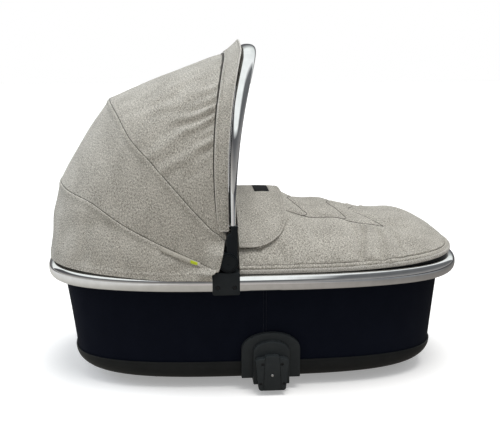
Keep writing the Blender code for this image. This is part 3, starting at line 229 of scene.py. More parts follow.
def woven(name, dark, light, pitch, relief, sheen=0.25, source="weave"):
    """Plain weave of flecked yarns; pitch is a yarn's width and relief the bumps' height, both in metres."""
    middle = tuple((a + b) / 2 for a, b in zip(dark, light))
    made, tree, shader = finish(
        name, middle, 0.92, Sheen_Weight=sheen, Sheen_Roughness=0.45, Specular_IOR_Level=0.1,
    )
    wide, long = pitch * FLECK_WIDTH, pitch * FLECK_LENGTH
    warp = speckle(tree, place(tree, source, (wide, long, wide)), 2.0, 0.6)
    weft = speckle(tree, place(tree, source, (long, wide, long)), 2.0, 0.6)
    axes = node(tree, "SeparateXYZ", ("Vector", place(tree, source, (pitch / math.tau,) * 3)))
    across, along = (maths(tree, "SINE", axes.outputs[k]) for k in (0, 1))
    over = maths(tree, "MULTIPLY", across, along)
    yarn = node(tree, "Mix", ("Factor", ranged(tree, over, -0.5, 0.5)), ("A", warp), ("B", weft)).outputs[0]
    cloudy = maths(tree, "SUBTRACT", speckle(tree, place(tree, source, BLOTCH_SIZES), 3.0), 0.5)
    shade = maths(tree, "ADD", yarn, maths(tree, "MULTIPLY", cloudy, BLOTCH_STRENGTH))
    colour = graded(tree, shade, ((0.43, dark), (0.50, middle), (0.57, light)))
    tree.links.new(colour, shader.inputs["Base Color"])
    height = maths(tree, "ADD", maths(tree, "MULTIPLY", maths(tree, "ABSOLUTE", over), 0.6), yarn)
    bumped(tree, shader, height, relief)
    return made


def sewn(name, dark, light, pitch=0.0004, relief=0.00005):
    """Thread, cord or narrow tape, whose weave lies in the object's own coordinates."""
    return woven(name, dark, light, pitch, relief, source="object")


def moulded(name, colour, roughness, grain=0.0005, relief=0.00004, worn=0.012):
    """Moulded plastic with fine grain and slightly polished, paler places."""
    made, tree, shader = finish(name, colour, roughness, Specular_IOR_Level=0.2)
    fine = speckle(tree, place(tree, "object", (grain,) * 3), 3.0)
    broad = speckle(tree, place(tree, "object", (0.03,) * 3), 4.0, 0.6)
    pale = tuple(value + worn for value in colour)
    tree.links.new(graded(tree, broad, ((0.35, colour), (0.75, pale))), shader.inputs["Base Color"])
    polish = ranged(tree, broad, 0.3, 0.7, roughness - 0.06, roughness + 0.08)
    tree.links.new(polish, shader.inputs["Roughness"])
    bumped(tree, shader, fine, relief)
    return made


def metal(name, colour, roughness, brushed=(0.02, 0.02, 0.02), spread=0.03, relief=0.0):
    """Metal with slightly uneven polish."""
    made, tree, shader = finish(name, colour, roughness, Metallic=1.0)
    uneven = speckle(tree, place(tree, "object", brushed), 4.0, 0.6)
    polish = ranged(tree, uneven, 0.3, 0.7, max(roughness - spread, 0.01), roughness + spread)
    tree.links.new(polish, shader.inputs["Roughness"])
    pale = tuple(min(value * 1.04, 1) for value in colour)
    dull = tuple(value * 0.93 for value in colour)
    tree.links.new(graded(tree, uneven, ((0.3, dull), (0.7, pale))), shader.inputs["Base Color"])
    if relief:
        bumped(tree, shader, uneven, relief)
    return made


FINISHES = {
    "melange": woven("melange_weave", (0.27, 0.255, 0.222), (0.76, 0.735, 0.670), 0.0011, 0.00022),
    "binding": woven("binding_weave", (0.34, 0.325, 0.295), (0.74, 0.725, 0.68), 0.0009, 0.00018),
    # Painted highlight: a paler cloth for the cords on the visor's folded edges, standing for the light they
    # catch.
    "painted_highlight": sewn("painted_highlight_weave", (0.50, 0.48, 0.435), (0.84, 0.82, 0.77), 0.0008, 0.0001),
    "quilt_line": sewn("quilt_line_thread", (0.10, 0.094, 0.083), (0.20, 0.19, 0.168)),
    "navy": woven("navy_weave", (0.0026, 0.0039, 0.0098), (0.0076, 0.0102, 0.0200), 0.0006, 0.00008, 0.02),
    "lining": woven("lining_knit", (0.42, 0.42, 0.43), (0.60, 0.60, 0.61), 0.0014, 0.0002),
    "cotton": woven("mattress_cotton", (0.66, 0.66, 0.65), (0.84, 0.84, 0.83), 0.0008, 0.0001, 0.1),
    "patch": woven("patch_weave", (0.012, 0.0125, 0.0135), (0.03, 0.031, 0.034), 0.0005, 0.00008, 0.05),
    "ribbon": sewn("ribbon_weave", (0.40, 0.38, 0.33), (0.60, 0.58, 0.52), 0.0006, 0.00012),
    "seam": sewn("seam_thread", (0.045, 0.042, 0.037), (0.095, 0.090, 0.080)),
    "lime": sewn("lime_thread", (0.42, 0.52, 0.02), (0.62, 0.72, 0.06), 0.0005, 0.0001),
    "thread": sewn("sewing_thread", (0.17, 0.155, 0.135), (0.33, 0.31, 0.275)),
    "pale_thread": sewn("pale_thread", (0.42, 0.40, 0.36), (0.62, 0.60, 0.55)),
    "navy_thread": sewn("navy_thread", (0.012, 0.014, 0.024), (0.03, 0.033, 0.05)),
    "black": moulded("black_mould", (0.0115, 0.0135, 0.0145), 0.42, worn=0.006),
    "clamp": moulded("clamp_mould", (0.0165, 0.0205, 0.0235), 0.44, worn=0.006),
    "slate": moulded("slate_mould", (0.0062, 0.0094, 0.0122), 0.40, worn=0.004),
    "satin": moulded("satin_mould", (0.0055, 0.0088, 0.0112), 0.30, worn=0.004),
    "housing": moulded("housing_mould", (0.0240, 0.0290, 0.0320), 0.44, worn=0.010),
    "bow": moulded("bow_plastic", (0.03, 0.03, 0.032), 0.5),
    "chrome": metal("polished_chrome", (0.90, 0.91, 0.92), 0.035, spread=0.015),
    "steel": metal("turned_steel", (0.60, 0.61, 0.63), 0.26, (0.0006, 0.004, 0.0006), 0.08, 0.00002),
    "dark_steel": metal("blackened_steel", (0.045, 0.046, 0.05), 0.38, (0.002, 0.002, 0.002), 0.1),
    "board": moulded("pressed_board", (0.20, 0.135, 0.08), 0.75, 0.0012, 0.0001, 0.05),
}


def shaded(piece, angle=SMOOTH_ANGLE):
    """Smooth shading with sharp edges past an angle."""
    piece.data.shade_smooth()
    piece.data.set_sharp_from_angle(angle=angle)
    return piece


def placed(name, data):
    """An object in the scene that shows some data."""
    made = bpy.data.objects.new(name, data)
    bpy.context.scene.collection.objects.link(made)
    return made


def set_hold(mesh, values):
    """Stores for each point how far it follows the second of two bodies."""
    attribute = mesh.attributes.new("hold", "FLOAT", "POINT")
    attribute.data.foreach_set("value", np.asarray(values).reshape(-1).astype(np.float32))


def body_of(name, points, faces, look):
    """A mesh object from world points with its faces turned outwards."""
    mesh = bpy.data.meshes.new(name)
    mesh.from_pydata(np.asarray(points).tolist(), [], faces)
    work = bmesh.new()
    work.from_mesh(mesh)
    bmesh.ops.recalc_face_normals(work, faces=work.faces)
    work.to_mesh(mesh)
    work.free()
    mesh.materials.append(FINISHES[look])
    return placed(name, mesh)


def belongs(piece, body, slot, *nodes):
    """Says which body a piece rides on and hides the frame's nodes that it stands for; slot is not used."""
    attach(piece, body)
    if nodes:
        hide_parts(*nodes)
    return piece


def run(line):
    """Distance along a line of points, from its first one."""
    return np.concatenate([[0], np.cumsum(np.linalg.norm(np.diff(line, axis=0), axis=1))])


def tube_faces(count, size, first=0, ring=False):
    """Faces through closed loops of a size that follow each other, with flat caps or joined to a ring."""
    faces = []
    for i in range(count if ring else count - 1):
        here, there = first + i * size, first + (i + 1) % count * size
        for j in range(size):
            k = (j + 1) % size
            faces.append((here + j, here + k, there + k, there + j))
    if not ring:
        faces.append(tuple(range(first, first + size)))
        faces.append(tuple(range(first + (count - 1) * size, first + count * size)))
    return faces


def loft(name, loops, look, ring=False):
    """Closed loops of equal size joined in order, with flat caps, or to a ring. Adds the weave's map."""
    loops = np.asarray(loops)
    count, size = loops.shape[:2]
    faces = tube_faces(count, size, ring=ring)
    sides = len(faces) - (0 if ring else 2)
    made = body_of(name, loops.reshape(-1, 3), faces, look)
    around = run(np.vstack([loops[0], loops[0][:1]]))
    up = run(np.vstack([loops[:, 0], loops[:1, 0]]))
    weave = made.data.uv_layers.new(name="Weave").uv
    values = np.zeros((len(made.data.loops), 2))
    for polygon in made.data.polygons:
        spots = [made.data.loops[k].vertex_index for k in polygon.loop_indices]
        if polygon.index >= sides:
            for k, v in zip(polygon.loop_indices, spots):
                values[k] = made.data.vertices[v].co.xy
            continue
        rows, columns = [v // size for v in spots], [v % size for v in spots]
        row_wrap, column_wrap = max(rows) - min(rows) > 1, max(columns) - min(columns) > 1
        for k, row, column in zip(polygon.loop_indices, rows, columns):
            row = count if row_wrap and row == 0 else row
            column = size if column_wrap and column == 0 else column
            values[k] = around[column], up[row]
    weave.foreach_set("vector", values.ravel())
    return shaded(made)


def unit(vectors):
    """Directions of length 1."""
    return vectors / np.maximum(np.linalg.norm(vectors, axis=-1, keepdims=True), 1e-12)


def grid_normals(grid, away_from):
    """Unit normals of a grid of points, pointing away from a point."""
    normals = unit(np.cross(np.gradient(grid, axis=0), np.gradient(grid, axis=1)))
    middle = tuple(size // 2 for size in grid.shape[:2])
    if np.dot(normals[middle], grid[middle] - away_from) < 0:
        normals = -normals
    return normals


def bevel(piece, width, segments=3, angle=SMOOTH_ANGLE):
    """Rounds a piece's sharp edges with a modifier."""
    rounding = piece.modifiers.new("rounding", "BEVEL")
    rounding.width = width
    rounding.segments = segments
    rounding.limit_method = "ANGLE"
    rounding.angle_limit = angle
    return piece


def cloth(name, grid, thickness, look, away_from, hold=None):
    """A sheet of cloth whose outer face is a grid of points; it grows inwards, with rounded edges.

    hold is the share, per point, with which it follows the second of two bodies.
    """
    rows, columns = grid.shape[:2]
    corners = np.arange(rows * columns).reshape(rows, columns)
    faces = np.stack([corners[:-1, :-1], corners[:-1, 1:], corners[1:, 1:], corners[1:, :-1]], axis=-1)
    mesh = bpy.data.meshes.new(name)
    mesh.from_pydata(grid.reshape(-1, 3).tolist(), [], faces.reshape(-1, 4).tolist())
    middle = (rows // 2) * (columns - 1) + columns // 2
    expected = grid_normals(grid, away_from)[rows // 2, columns // 2]
    if np.dot(np.array(mesh.polygons[middle].normal), expected) < 0:
        mesh.flip_normals()
    mesh.materials.append(FINISHES[look])
    made = placed(name, mesh)
    across = np.broadcast_to(run(grid[rows // 2]), (rows, columns))
    down = np.array([run(grid[:, column]) for column in range(columns)]).T
    places = np.stack([across, down], axis=-1).reshape(-1, 2)
    vertices = np.zeros(len(mesh.loops), np.int32)
    mesh.loops.foreach_get("vertex_index", vertices)
    mesh.uv_layers.new(name="Weave").uv.foreach_set("vector", places[vertices].ravel())
    if hold is not None:
        set_hold(mesh, hold)
    wall = made.modifiers.new("thickness", "SOLIDIFY")
    wall.thickness = thickness
    wall.offset = -1
    bevel(made, thickness * 0.35, 2, math.radians(60))
    mesh.shade_smooth()
    return made


def bend(piece, near, far, slot, *nodes):
    """Lets a piece turn between two bodies by the share it holds at each point."""
    mesh = piece.data
    values = np.zeros(len(mesh.vertices), np.float32)
    mesh.attributes["hold"].data.foreach_get("value", values)
    points = np.array([v.co for v in mesh.vertices])
    low, high = points[values.argmin()], points[values.argmax()]
    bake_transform(piece, near, far, start=tuple(low), end=tuple(high + GAP))
    mesh.attributes["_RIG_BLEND"].data.foreach_set("value", values)
    mesh.attributes.remove(mesh.attributes["hold"])
    if nodes:
        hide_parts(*nodes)
    return piece


def swept(name, path, across, up, section, look, hold=None):
    """A section of (across, up) points swept along a path with its own two directions."""
    loops = [path + (a * across + b * up) for a, b in section]
    made = loft(name, np.swapaxes(np.array(loops), 0, 1), look)
    if hold is not None:
        set_hold(made.data, np.repeat(hold, len(section)))
    return made


def bulged(angle, half_x, half_y, power):
    """Points of a superellipse at some angles."""
    cosine, sine = np.cos(angle), np.sin(angle)
    x = half_x * np.sign(cosine) * np.abs(cosine) ** (2 / power)
    y = half_y * np.sign(sine) * np.abs(sine) ** (2 / power)
    return np.column_stack([x, y])


def oval(half_across, half_up, sides, power=2.0):
    """The section of a tube or a cord."""
    return bulged(np.linspace(0, math.tau, sides, endpoint=False), half_across, half_up, power)


def frames(path, out):
    """Directions along, sideways and outwards of a line on a surface with normals out."""
    along = unit(np.gradient(path, axis=0))
    side = unit(np.cross(along, out))
    return along, side, unit(np.cross(side, along))


def cord(name, path, out, half_sizes, look, sink=0.0, sides=8, hold=None):
    """A thin cord along a line on a surface with normals out, sunk below it."""
    _, side, up = frames(path, out)
    return swept(name, path - up * sink, side, up, oval(*half_sizes, sides), look, hold)


def read_at(at, along, values):
    """Rows of values at places between the places where they are known."""
    return np.stack([np.interp(at, along, column) for column in values.T], axis=-1)


def stitches(name, path, out, look, hold=None):
    """A row of sewing stitches along a line on a surface, each with five rings of six points."""
    along = run(path)
    count = int(along[-1] / STITCH_PITCH)
    starts = (np.arange(count) + 0.5) * along[-1] / count
    offsets = np.array([-0.5, -0.3, 0.0, 0.3, 0.5]) * STITCH_LENGTH
    lifts = np.array([-0.8, 0.25, 0.55, 0.25, -0.8]) * THREAD_RADIUS
    widths = np.array([0.35, 0.95, 1.0, 0.95, 0.35]) * THREAD_RADIUS
    at = (starts[:, None] + offsets).clip(0, along[-1])
    _, side, up = frames(path, out)
    side, up = unit(read_at(at, along, side)), unit(read_at(at, along, up))
    points = read_at(at, along, path) + up * lifts[:, None]
    angles = np.linspace(0, math.tau, 6, endpoint=False)[:, None]
    round_it = np.cos(angles) * side[:, :, None] + np.sin(angles) * up[:, :, None]
    rings = points[:, :, None] + widths[:, None, None] * round_it
    faces = [face for stitch in range(count) for face in tube_faces(5, 6, stitch * 30)]
    made = shaded(body_of(name, rings.reshape(-1, 3), faces, look), math.radians(80))
    if hold is not None:
        set_hold(made.data, np.repeat(np.interp(at, along, hold).reshape(-1), 6))
    return made


def wander(points, size, seed=0.0):
    """Smooth noise from about -1 to 1 at points, with features of a size in metres."""
    shape = points.shape[:-1]
    shift = Vector((seed, seed * 1.7, seed * 0.6))
    values = [noise.noise(Vector(point) / size + shift) for point in points.reshape(-1, 3)]
    return np.array(values).reshape(shape)


def window(value, low, high, soft):
    """1 between low and high, easing to 0 over soft on both sides."""
    rise = np.clip((value - low) / soft + 1, 0, 1)
    fall = np.clip((high - value) / soft + 1, 0, 1)
    return rise * rise * (3 - 2 * rise) * fall * fall * (3 - 2 * fall)


def valley(distance, depth, width):
    """A rounded furrow of a depth with its middle at distance 0."""
    return -depth * np.exp(-((distance / width) ** 2))


def spaced(points, count, closed=False, crowding=0.0):
    """Points at even steps along a line, or at smaller steps towards its two ends."""
    along = run(points)
    share = np.linspace(0, 1, count, endpoint=not closed)
    wanted = along[-1] * (share - crowding * np.sin(math.tau * share) / math.tau)
    return read_at(wanted, along, points)


def blended(line, spot):
    """A value between two neighbours of a row."""
    low = int(min(max(math.floor(spot), 0), len(line) - 2))
    return (1 - spot + low) * line[low] + (spot - low) * line[low + 1]


def superellipse(half_length, half_width, roundness):
    """A closed outline of evenly spaced points, seen from above."""
    angle = np.linspace(0, math.tau, DENSE_STEPS + 1)
    return spaced(bulged(angle, half_length, half_width, roundness), OUTLINE_STEPS, closed=True)


def tray_shape(inset=0.0):
    """The tray's outline, smaller by an inset."""
    return superellipse(TRAY_HALF_LENGTH - inset, TRAY_HALF_WIDTH - inset, TRAY_ROUNDNESS)


def moved_out(outline, distance):
    """An outline seen from above, moved outwards by a distance."""
    along = np.roll(outline, -1, axis=0) - np.roll(outline, 1, axis=0)
    normal = np.column_stack([along[:, 1], -along[:, 0]])
    return outline + distance * unit(normal)


def raised(outline, z):
    """An outline seen from above, at a height or at one height per point."""
    return np.column_stack([outline, np.broadcast_to(z, len(outline))])


RAIL_LINE = superellipse(RAIL_HALF_LENGTH, RAIL_HALF_WIDTH, RAIL_ROUNDNESS)


def rail_outline(outset):
    """The rail's centreline, moved outwards."""
    return moved_out(RAIL_LINE, outset)


def rail_half_width(x, outset=0.0):
    """How far the rail's centreline, moved outwards, is from the middle plane at x."""
    share = np.clip(np.abs(x) / (RAIL_HALF_LENGTH + outset), 0, 1)
    return (RAIL_HALF_WIDTH + outset) * (1 - share**RAIL_ROUNDNESS) ** (1 / RAIL_ROUNDNESS)


def rim_top(x):
    """Height of the rim's lip at x, which rises towards both ends."""
    share = np.abs(x) / RAIL_HALF_LENGTH
    return RAIL_Z + RAIL_TUBE_HEIGHT / 2 + 0.0012 + 0.0095 * share**3


def rail_sweep(name, order, room, look):
    """The rail's section along some points of its centreline, with room added round it."""
    path = raised(RAIL_LINE[order], RAIL_Z)
    out = raised((rail_outline(1) - RAIL_LINE)[order], 0)
    up = np.broadcast_to((0, 0, 1), out.shape)
    section = oval(RAIL_TUBE_WIDTH / 2 + room, RAIL_TUBE_HEIGHT / 2 + room, 40, RAIL_SECTION_POWER)
    return swept(name, path, out, up, section, look)


def make_rail():
    """The two halves of the rail, which meet inside the hinge blocks."""
    for name, towards in (("rail_foot", 1), ("rail_head", -1)):
        order = np.flatnonzero(towards * (RAIL_LINE[:, 0] - BLOCK_X) > 0.002)
        breaks = np.flatnonzero(np.diff(order) > 1)
        if len(breaks):
            order = np.roll(order, -(breaks[0] + 1))
        belongs(rail_sweep(f"{name}_tube", order, 0, "chrome"), "root", "chrome", name)


def make_rim():
    """The black carrier ring inside the rail, with a rounded lip over the tube."""
    half_height = RAIL_TUBE_HEIGHT / 2 + 0.0005
    lip = rail_outline(RIM_OUTSET + RIM_LIP)
    loops = [raised(lip, rim_top(lip[:, 0]) - 0.0004)]
    for turn in np.linspace(math.acos((RIM_OUTSET + RIM_LIP) / RIM_OUTSET), 0, 12):
        loops.append(raised(rail_outline(RIM_OUTSET * math.cos(turn)), RAIL_Z + half_height * math.sin(turn)))
    inner = rail_outline(RIM_OUTSET - RIM_WALL)
    top = rim_top(inner[:, 0])
    loops.append(raised(rail_outline(RIM_OUTSET), RAIL_Z - RIM_DEPTH))
    loops.append(raised(inner, RAIL_Z - RIM_DEPTH))
    for outset, drop in ((0.0, 0.0015), (0.0006, 0.0003), (0.002, 0.0)):
        loops.append(raised(rail_outline(RIM_OUTSET - RIM_WALL + outset), top - drop))
    outer = rail_outline(RIM_OUTSET + RIM_LIP - 0.0006)
    loops.append(raised(outer, rim_top(outer[:, 0])))
    belongs(loft("carrier_rim", loops, "black", ring=True), "root", "black_plastic", "rim")


def tray_loop(turn, growth=0.0, lift=0.0):
    """The dish's outline at a turn down its side, from its edge at 0 to its floor at a quarter turn."""
    shrink = 1 - math.cos(turn)
    shape = superellipse(TRAY_HALF_LENGTH - 0.050 * shrink, TRAY_HALF_WIDTH - 0.021 * shrink, TRAY_ROUNDNESS)
    return raised(moved_out(shape, growth), TRAY_TOP_Z - (TRAY_DEPTH - lift) * math.sin(turn))


def stadium(length, width, y, steps=20):
    """A long outline with round ends, seen from above."""
    points = []
    for end, start in ((1, -QUARTER_TURN), (-1, QUARTER_TURN)):
        for angle in np.linspace(start, start + math.pi, steps):
            middle = end * (length - width) / 2
            points.append((middle + width / 2 * math.cos(angle), y + width / 2 * math.sin(angle)))
    return np.array(points)


def make_tray():
    """The moulded dish with a rolled edge, a shallow step under it and two runners."""
    turns = np.linspace(0, QUARTER_TURN, 16)
    loops = [tray_loop(turn) for turn in turns]
    inside = [tray_loop(turn, -TRAY_WALL, TRAY_WALL) for turn in turns]
    edge = [tray_loop(0, -TRAY_WALL * share, 0) + (0, 0, lift) for share, lift in
            ((0.12, 0.0004), (0.4, 0.0007), (0.7, 0.0007))]
    step = [tray_loop(turns[1] * share, growth) for share, growth in ((0.9, 0.0), (0.95, -0.0006))]
    tray = loft("tray_shell", loops[:1:-1] + step[::-1] + loops[:1] + edge + inside, "black")
    belongs(tray, "root", "black_plastic", "base_tray")
    for side_name, side in SIDES:
        y = side * 0.100
        rows = ((0.0260, 0.0210), (0.0235, 0.0040), (0.0222, 0.0015), (0.0195, 0.0004), (0.0160, 0.0))
        runner = [raised(stadium(0.414 + width, width, y), level) for width, level in rows]
        belongs(loft(f"runner_{side_name}", runner, "black"), "root", "black_plastic")


def tub_outline(z, inset):
    """The tub wall's outline at a height, moved inwards."""
    share = (z - TRAY_TOP_Z) / (RAIL_Z - RIM_DEPTH - TRAY_TOP_Z)
    upper = rail_outline(-TUB_TOP_INSET)
    lower = moved_out(tray_shape(), -TRAY_WALL - GAP)
    return moved_out(share * upper + (1 - share) * lower, -inset)


TUB_SEAM_X = 0.0075


def tub_sway(points, z):
    """How far the tub's cover stands out from its stiff wall, with a sewn seam on each side."""
    share = np.clip((z - TRAY_TOP_Z) / (RAIL_Z - TRAY_TOP_Z), 0, 1)
    spots = raised(points, z * 0.3)
    loose = 0.0007 * wander(spots, 0.045, 3.0) + 0.0004 * wander(spots, 0.018, 9.0)
    on_side = np.abs(points[:, 1]) > 0.6 * RAIL_HALF_WIDTH
    seam = valley(points[:, 0] - TUB_SEAM_X, 0.0011, 0.0011) * on_side
    full = 0.0052 * share**1.3 * np.clip((-points[:, 0] - 0.24) / 0.13, 0, 1)
    return -0.0004 + math.sin(math.pi * share) * loose + seam + full


def make_tub():
    """The fabric-covered wall, tucked into the tray."""
    tuck = 0.008
    top, low = RAIL_Z - RIM_DEPTH - GAP, TRAY_TOP_Z - tuck
    turn = math.asin(tuck / (TRAY_DEPTH - TRAY_WALL))
    outside, inside = [], []
    for z in np.linspace(top, TRAY_TOP_Z, 30):
        base = tub_outline(z, 0)
        normal = unit(base - tub_outline(z, 0.01))
        outside.append(raised(base + normal * tub_sway(base, z)[:, None], z))
        inside.append(raised(tub_outline(z, TUB_WALL), z))
    for depth, wall in ((0, outside), (TUB_WALL, inside)):
        tucked = tray_loop(turn, -TRAY_WALL - 2 * GAP - depth, TRAY_WALL)[:, :2]
        wall.append(raised(tucked, low))
    cover = loft("tub_cover", outside + inside[::-1], "navy", ring=True)
    belongs(cover, "root", "navy_fabric", "tub_wall")
    for side_name, side in SIDES:
        for edge_name, shift in (("head", -0.0028), ("foot", 0.0028)):
            line = []
            for z in np.linspace(TRAY_TOP_Z + 0.002, top - 0.002, 40):
                base = tub_outline(z, 0.0003)
                spots = base[side * base[:, 1] > 0]
                order = np.argsort(spots[:, 0])
                x = TUB_SEAM_X + shift
                line.append((x, np.interp(x, spots[order, 0], spots[order, 1]), z))
            line = np.array(line)
            out = np.broadcast_to((0.0, float(side), 0.0), line.shape)
            row = stitches(f"tub_stitches_{edge_name}_{side_name}", line, out, "navy_thread")
            belongs(row, "root", "navy_fabric")


def make_inside():
    """The liner, smooth at the tub's wall and softly waved on its inner side."""
    inset = TUB_WALL + 0.0011
    bottom = MATTRESS_TOP_Z + 0.005
    loops = []
    for depth in (inset, inset + 0.0028):
        wall = []
        for share in np.linspace(0, 1, 14):
            z = bottom + share * (RAIL_Z - RIM_DEPTH - bottom)
            base = tub_outline(z, depth)
            if depth > inset:
                waves = wander(raised(base, z * 0.35), 0.022, 5.0).clip(-0.5, 1)
                base = base - unit(base) * (0.0006 + 0.0012 * waves)[:, None]
            wall.append(raised(base, z))
        head = rail_outline(RIM_OUTSET - RIM_WALL - GAP + inset - depth)
        for drop in (0.012, 0.006, 0.0025):
            wall.append(raised(head, rim_top(head[:, 0]) - drop))
        loops += wall if depth == inset else wall[::-1]
    belongs(loft("padded_liner", loops, "lining", ring=True), "root", "lining_fabric", "liner")


def make_mattress():
    """A crowned pad with quilted diamonds and a rounded edge."""
    height = MATTRESS_TOP_Z - 0.010 - MATTRESS_Z
    profile = ((0.042, 0.0), (0.030, 0.0005), (0.022, 0.0030), (0.0165, 0.0075), (0.0135, 0.013),
               (0.0122, 0.019), (0.0122, height - 0.006), (0.0136, height - 0.001), (0.0170, height + 0.0025))
    rings = [raised(tray_shape(inset), MATTRESS_Z + lift) for inset, lift in profile]
    edge = tray_shape(profile[-1][0])
    rim_z = MATTRESS_Z + profile[-1][1]
    diamond = 0.075
    for share in np.linspace(0, 1, 49)[1:-1]:
        ring = edge * (1 - share)
        z = rim_z + (MATTRESS_TOP_Z - rim_z) * (1 - (1 - share) ** 3)
        u, v = (ring[:, 0] + ring[:, 1]) / diamond, (ring[:, 0] - ring[:, 1]) / diamond
        seam = np.minimum(np.abs(u - np.round(u)), np.abs(v - np.round(v))) * diamond / 1.414
        rings.append(raised(ring, z - 0.0032 * np.exp(-seam / 0.0045) * min(1, share * 12)))
    pad = loft("quilted_mattress", rings, "cotton")
    belongs(pad, "root", "white_cotton", "mattress")


def arch_place(climb):
    """Where the arch's centreline is along the cot and how wide it is, by the share of its height."""
    width = ARCH_WIDTHS[0] + (ARCH_WIDTHS[1] - ARCH_WIDTHS[0]) * climb**1.3
    return HINGE_X + ARCH_FORWARD + ARCH_LEAN * climb**2.6, width


def make_arch():
    """The chrome arch, wider and deeper towards its top, and the black strip behind it."""
    rise = ARCH_TOP_Z - ARCH_FOOT_Z
    half_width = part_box("arch_leg_left")[0].y + 0.01075
    share, spread = bulged(HALF_TURN, 1, 1, ARCH_ROUNDNESS).T
    line = np.column_stack([arch_place(share)[0], half_width * spread, ARCH_FOOT_Z + rise * share])
    line = spaced(line, 240)
    climb = np.clip((line[:, 2] - ARCH_FOOT_Z) / rise, 0, 1)
    width = arch_place(climb)[1]
    depth = ARCH_DEPTHS[0] + (ARCH_DEPTHS[1] - ARCH_DEPTHS[0]) * climb**1.3
    along = unit(np.gradient(line, axis=0))
    along[0], along[-1] = (0, 0, 1), (0, 0, -1)
    forward = unit(np.array([1, 0, 0]) - along * along[:, :1])
    outward = np.cross(forward, along)
    section = oval(0.5, 0.5, 40, ARCH_SECTION_POWER)
    arch = swept("arch_tube", line, width[:, None] * forward, depth[:, None] * outward, section, "chrome")
    belongs(arch, "handle", "chrome", "handle_arch")
    keep = line[:, 2] > LEG_TOP_Z + 0.002
    path = line[keep] - forward[keep] * (width[keep, None] / 2 + GAP + STRIP_THICKNESS / 2)
    section = oval(STRIP_THICKNESS / 2, 0.0050, 16, 4)
    strip = swept("arch_seal", path, forward[keep], outward[keep], section, "black")
    belongs(strip, "handle", "black_plastic", "arch_strip")


def visor_rib(rear_share, inset=0.0):
    """A line over the visor band, from its front edge at 0 to its rear seam at 1."""
    share, spread = bulged(HALF_TURN, 1, 1, HOOD_ROUNDNESS).T
    top = RAIL_Z + (1 - rear_share) * 0.4530 + rear_share * 0.4285 - inset
    z = VISOR_BASE_Z + (top - VISOR_BASE_Z) * share
    climb = np.clip((z - ARCH_FOOT_Z) / (ARCH_TOP_Z - ARCH_FOOT_Z), 0, 1)
    middle, width = arch_place(climb)
    x = middle - width / 2 - STRIP_THICKNESS - VISOR_CLEARANCE
    reach = 0.017 + 0.011 * climb ** (1 / VISOR_ROUNDNESS)
    y = (HOOD_HALF_WIDTH + 0.0045 - inset) * spread
    return spaced(np.column_stack([x - rear_share * reach, y, z]), RIB_STEPS, crowding=END_CROWDING)


def smooth_curve(table, share):
    """A smooth curve through a table of (share, level) pairs."""
    spots, levels = np.array(table).T
    slopes = np.gradient(levels, spots)
    index = np.clip(np.searchsorted(spots, share, side="right") - 1, 0, len(spots) - 2)
    width = spots[index + 1] - spots[index]
    t = (share - spots[index]) / width
    start = levels[index] * (1 + 2 * t) * (1 - t) ** 2 + slopes[index] * width * t * (1 - t) ** 2
    return start + levels[index + 1] * t**2 * (3 - 2 * t) + slopes[index + 1] * width * t**2 * (t - 1)


def seam_rib(foot, top, sway):
    """A seam over the hood between two places from the hinge axis, swaying to its rear side."""
    foot, reach = np.array(foot), np.array(top) - np.array(foot)
    share, spread = bulged(HALF_TURN, 1, 1, HOOD_ROUNDNESS).T
    back = smooth_curve(sway, share) / np.linalg.norm(reach)
    x = HINGE_X + foot[0] + reach[0] * share - reach[1] * back
    z = HINGE_Z + foot[1] + reach[1] * share + reach[0] * back
    return spaced(np.column_stack([x, HOOD_HALF_WIDTH * spread, z]), RIB_STEPS, crowding=END_CROWDING)


def hem_rib():
    """The hood's lower edge, outside the rail at the sides and above it at the head end."""
    start, tip = -0.0962, -(RAIL_HALF_LENGTH + 0.0085)
    share, spread = bulged(HALF_TURN, 1, 1, RAIL_ROUNDNESS).T
    x = start + (tip - start) * share
    behind = np.clip((x + 0.180) / (tip + 0.180), 0, 1)
    y = np.sign(spread) * rail_half_width(x, 0.0150 - 0.0065 * behind)
    z = RAIL_Z + 0.0100 + 0.0135 * behind
    return spaced(np.column_stack([x, y, z]), RIB_STEPS, crowding=END_CROWDING)


SEAM_STEPS = np.array([0, 0.0007, 0.0014, 0.0022, 0.0032, 0.0046, 0.0062, 0.0078, 0.0096, 0.0125, 0.016])


def panel(front, rear, cut_point, rows):
    """A grid between two ribs with finer rows by the seams, and the distances from both seams."""
    length = np.linalg.norm(rear - front, axis=1)
    shrink = np.minimum(1, 0.3 * length / SEAM_STEPS[-1])
    near = SEAM_STEPS[:, None] * shrink / length
    inner = np.linspace(0, 1, rows + 2)[1:-1, None]
    middle = near[-1] + (1 - 2 * near[-1]) * inner
    share = np.concatenate([near, middle, 1 - near[::-1]])
    along = run(front) / run(front)[-1]
    hold = np.clip(1 - np.minimum(along, 1 - along) / 0.30, 0, 1) ** 2
    centre = (front[0] + rear[0]) / 2
    pull = np.array([HINGE_X + cut_point[0] - centre[0], 0, HINGE_Z + cut_point[1] - centre[2]])
    grid = (1 - share[..., None]) * front + share[..., None] * rear
    grid = grid + (4 * share * (1 - share) * hold)[..., None] * pull
    return grid, share, share * length, (1 - share) * length


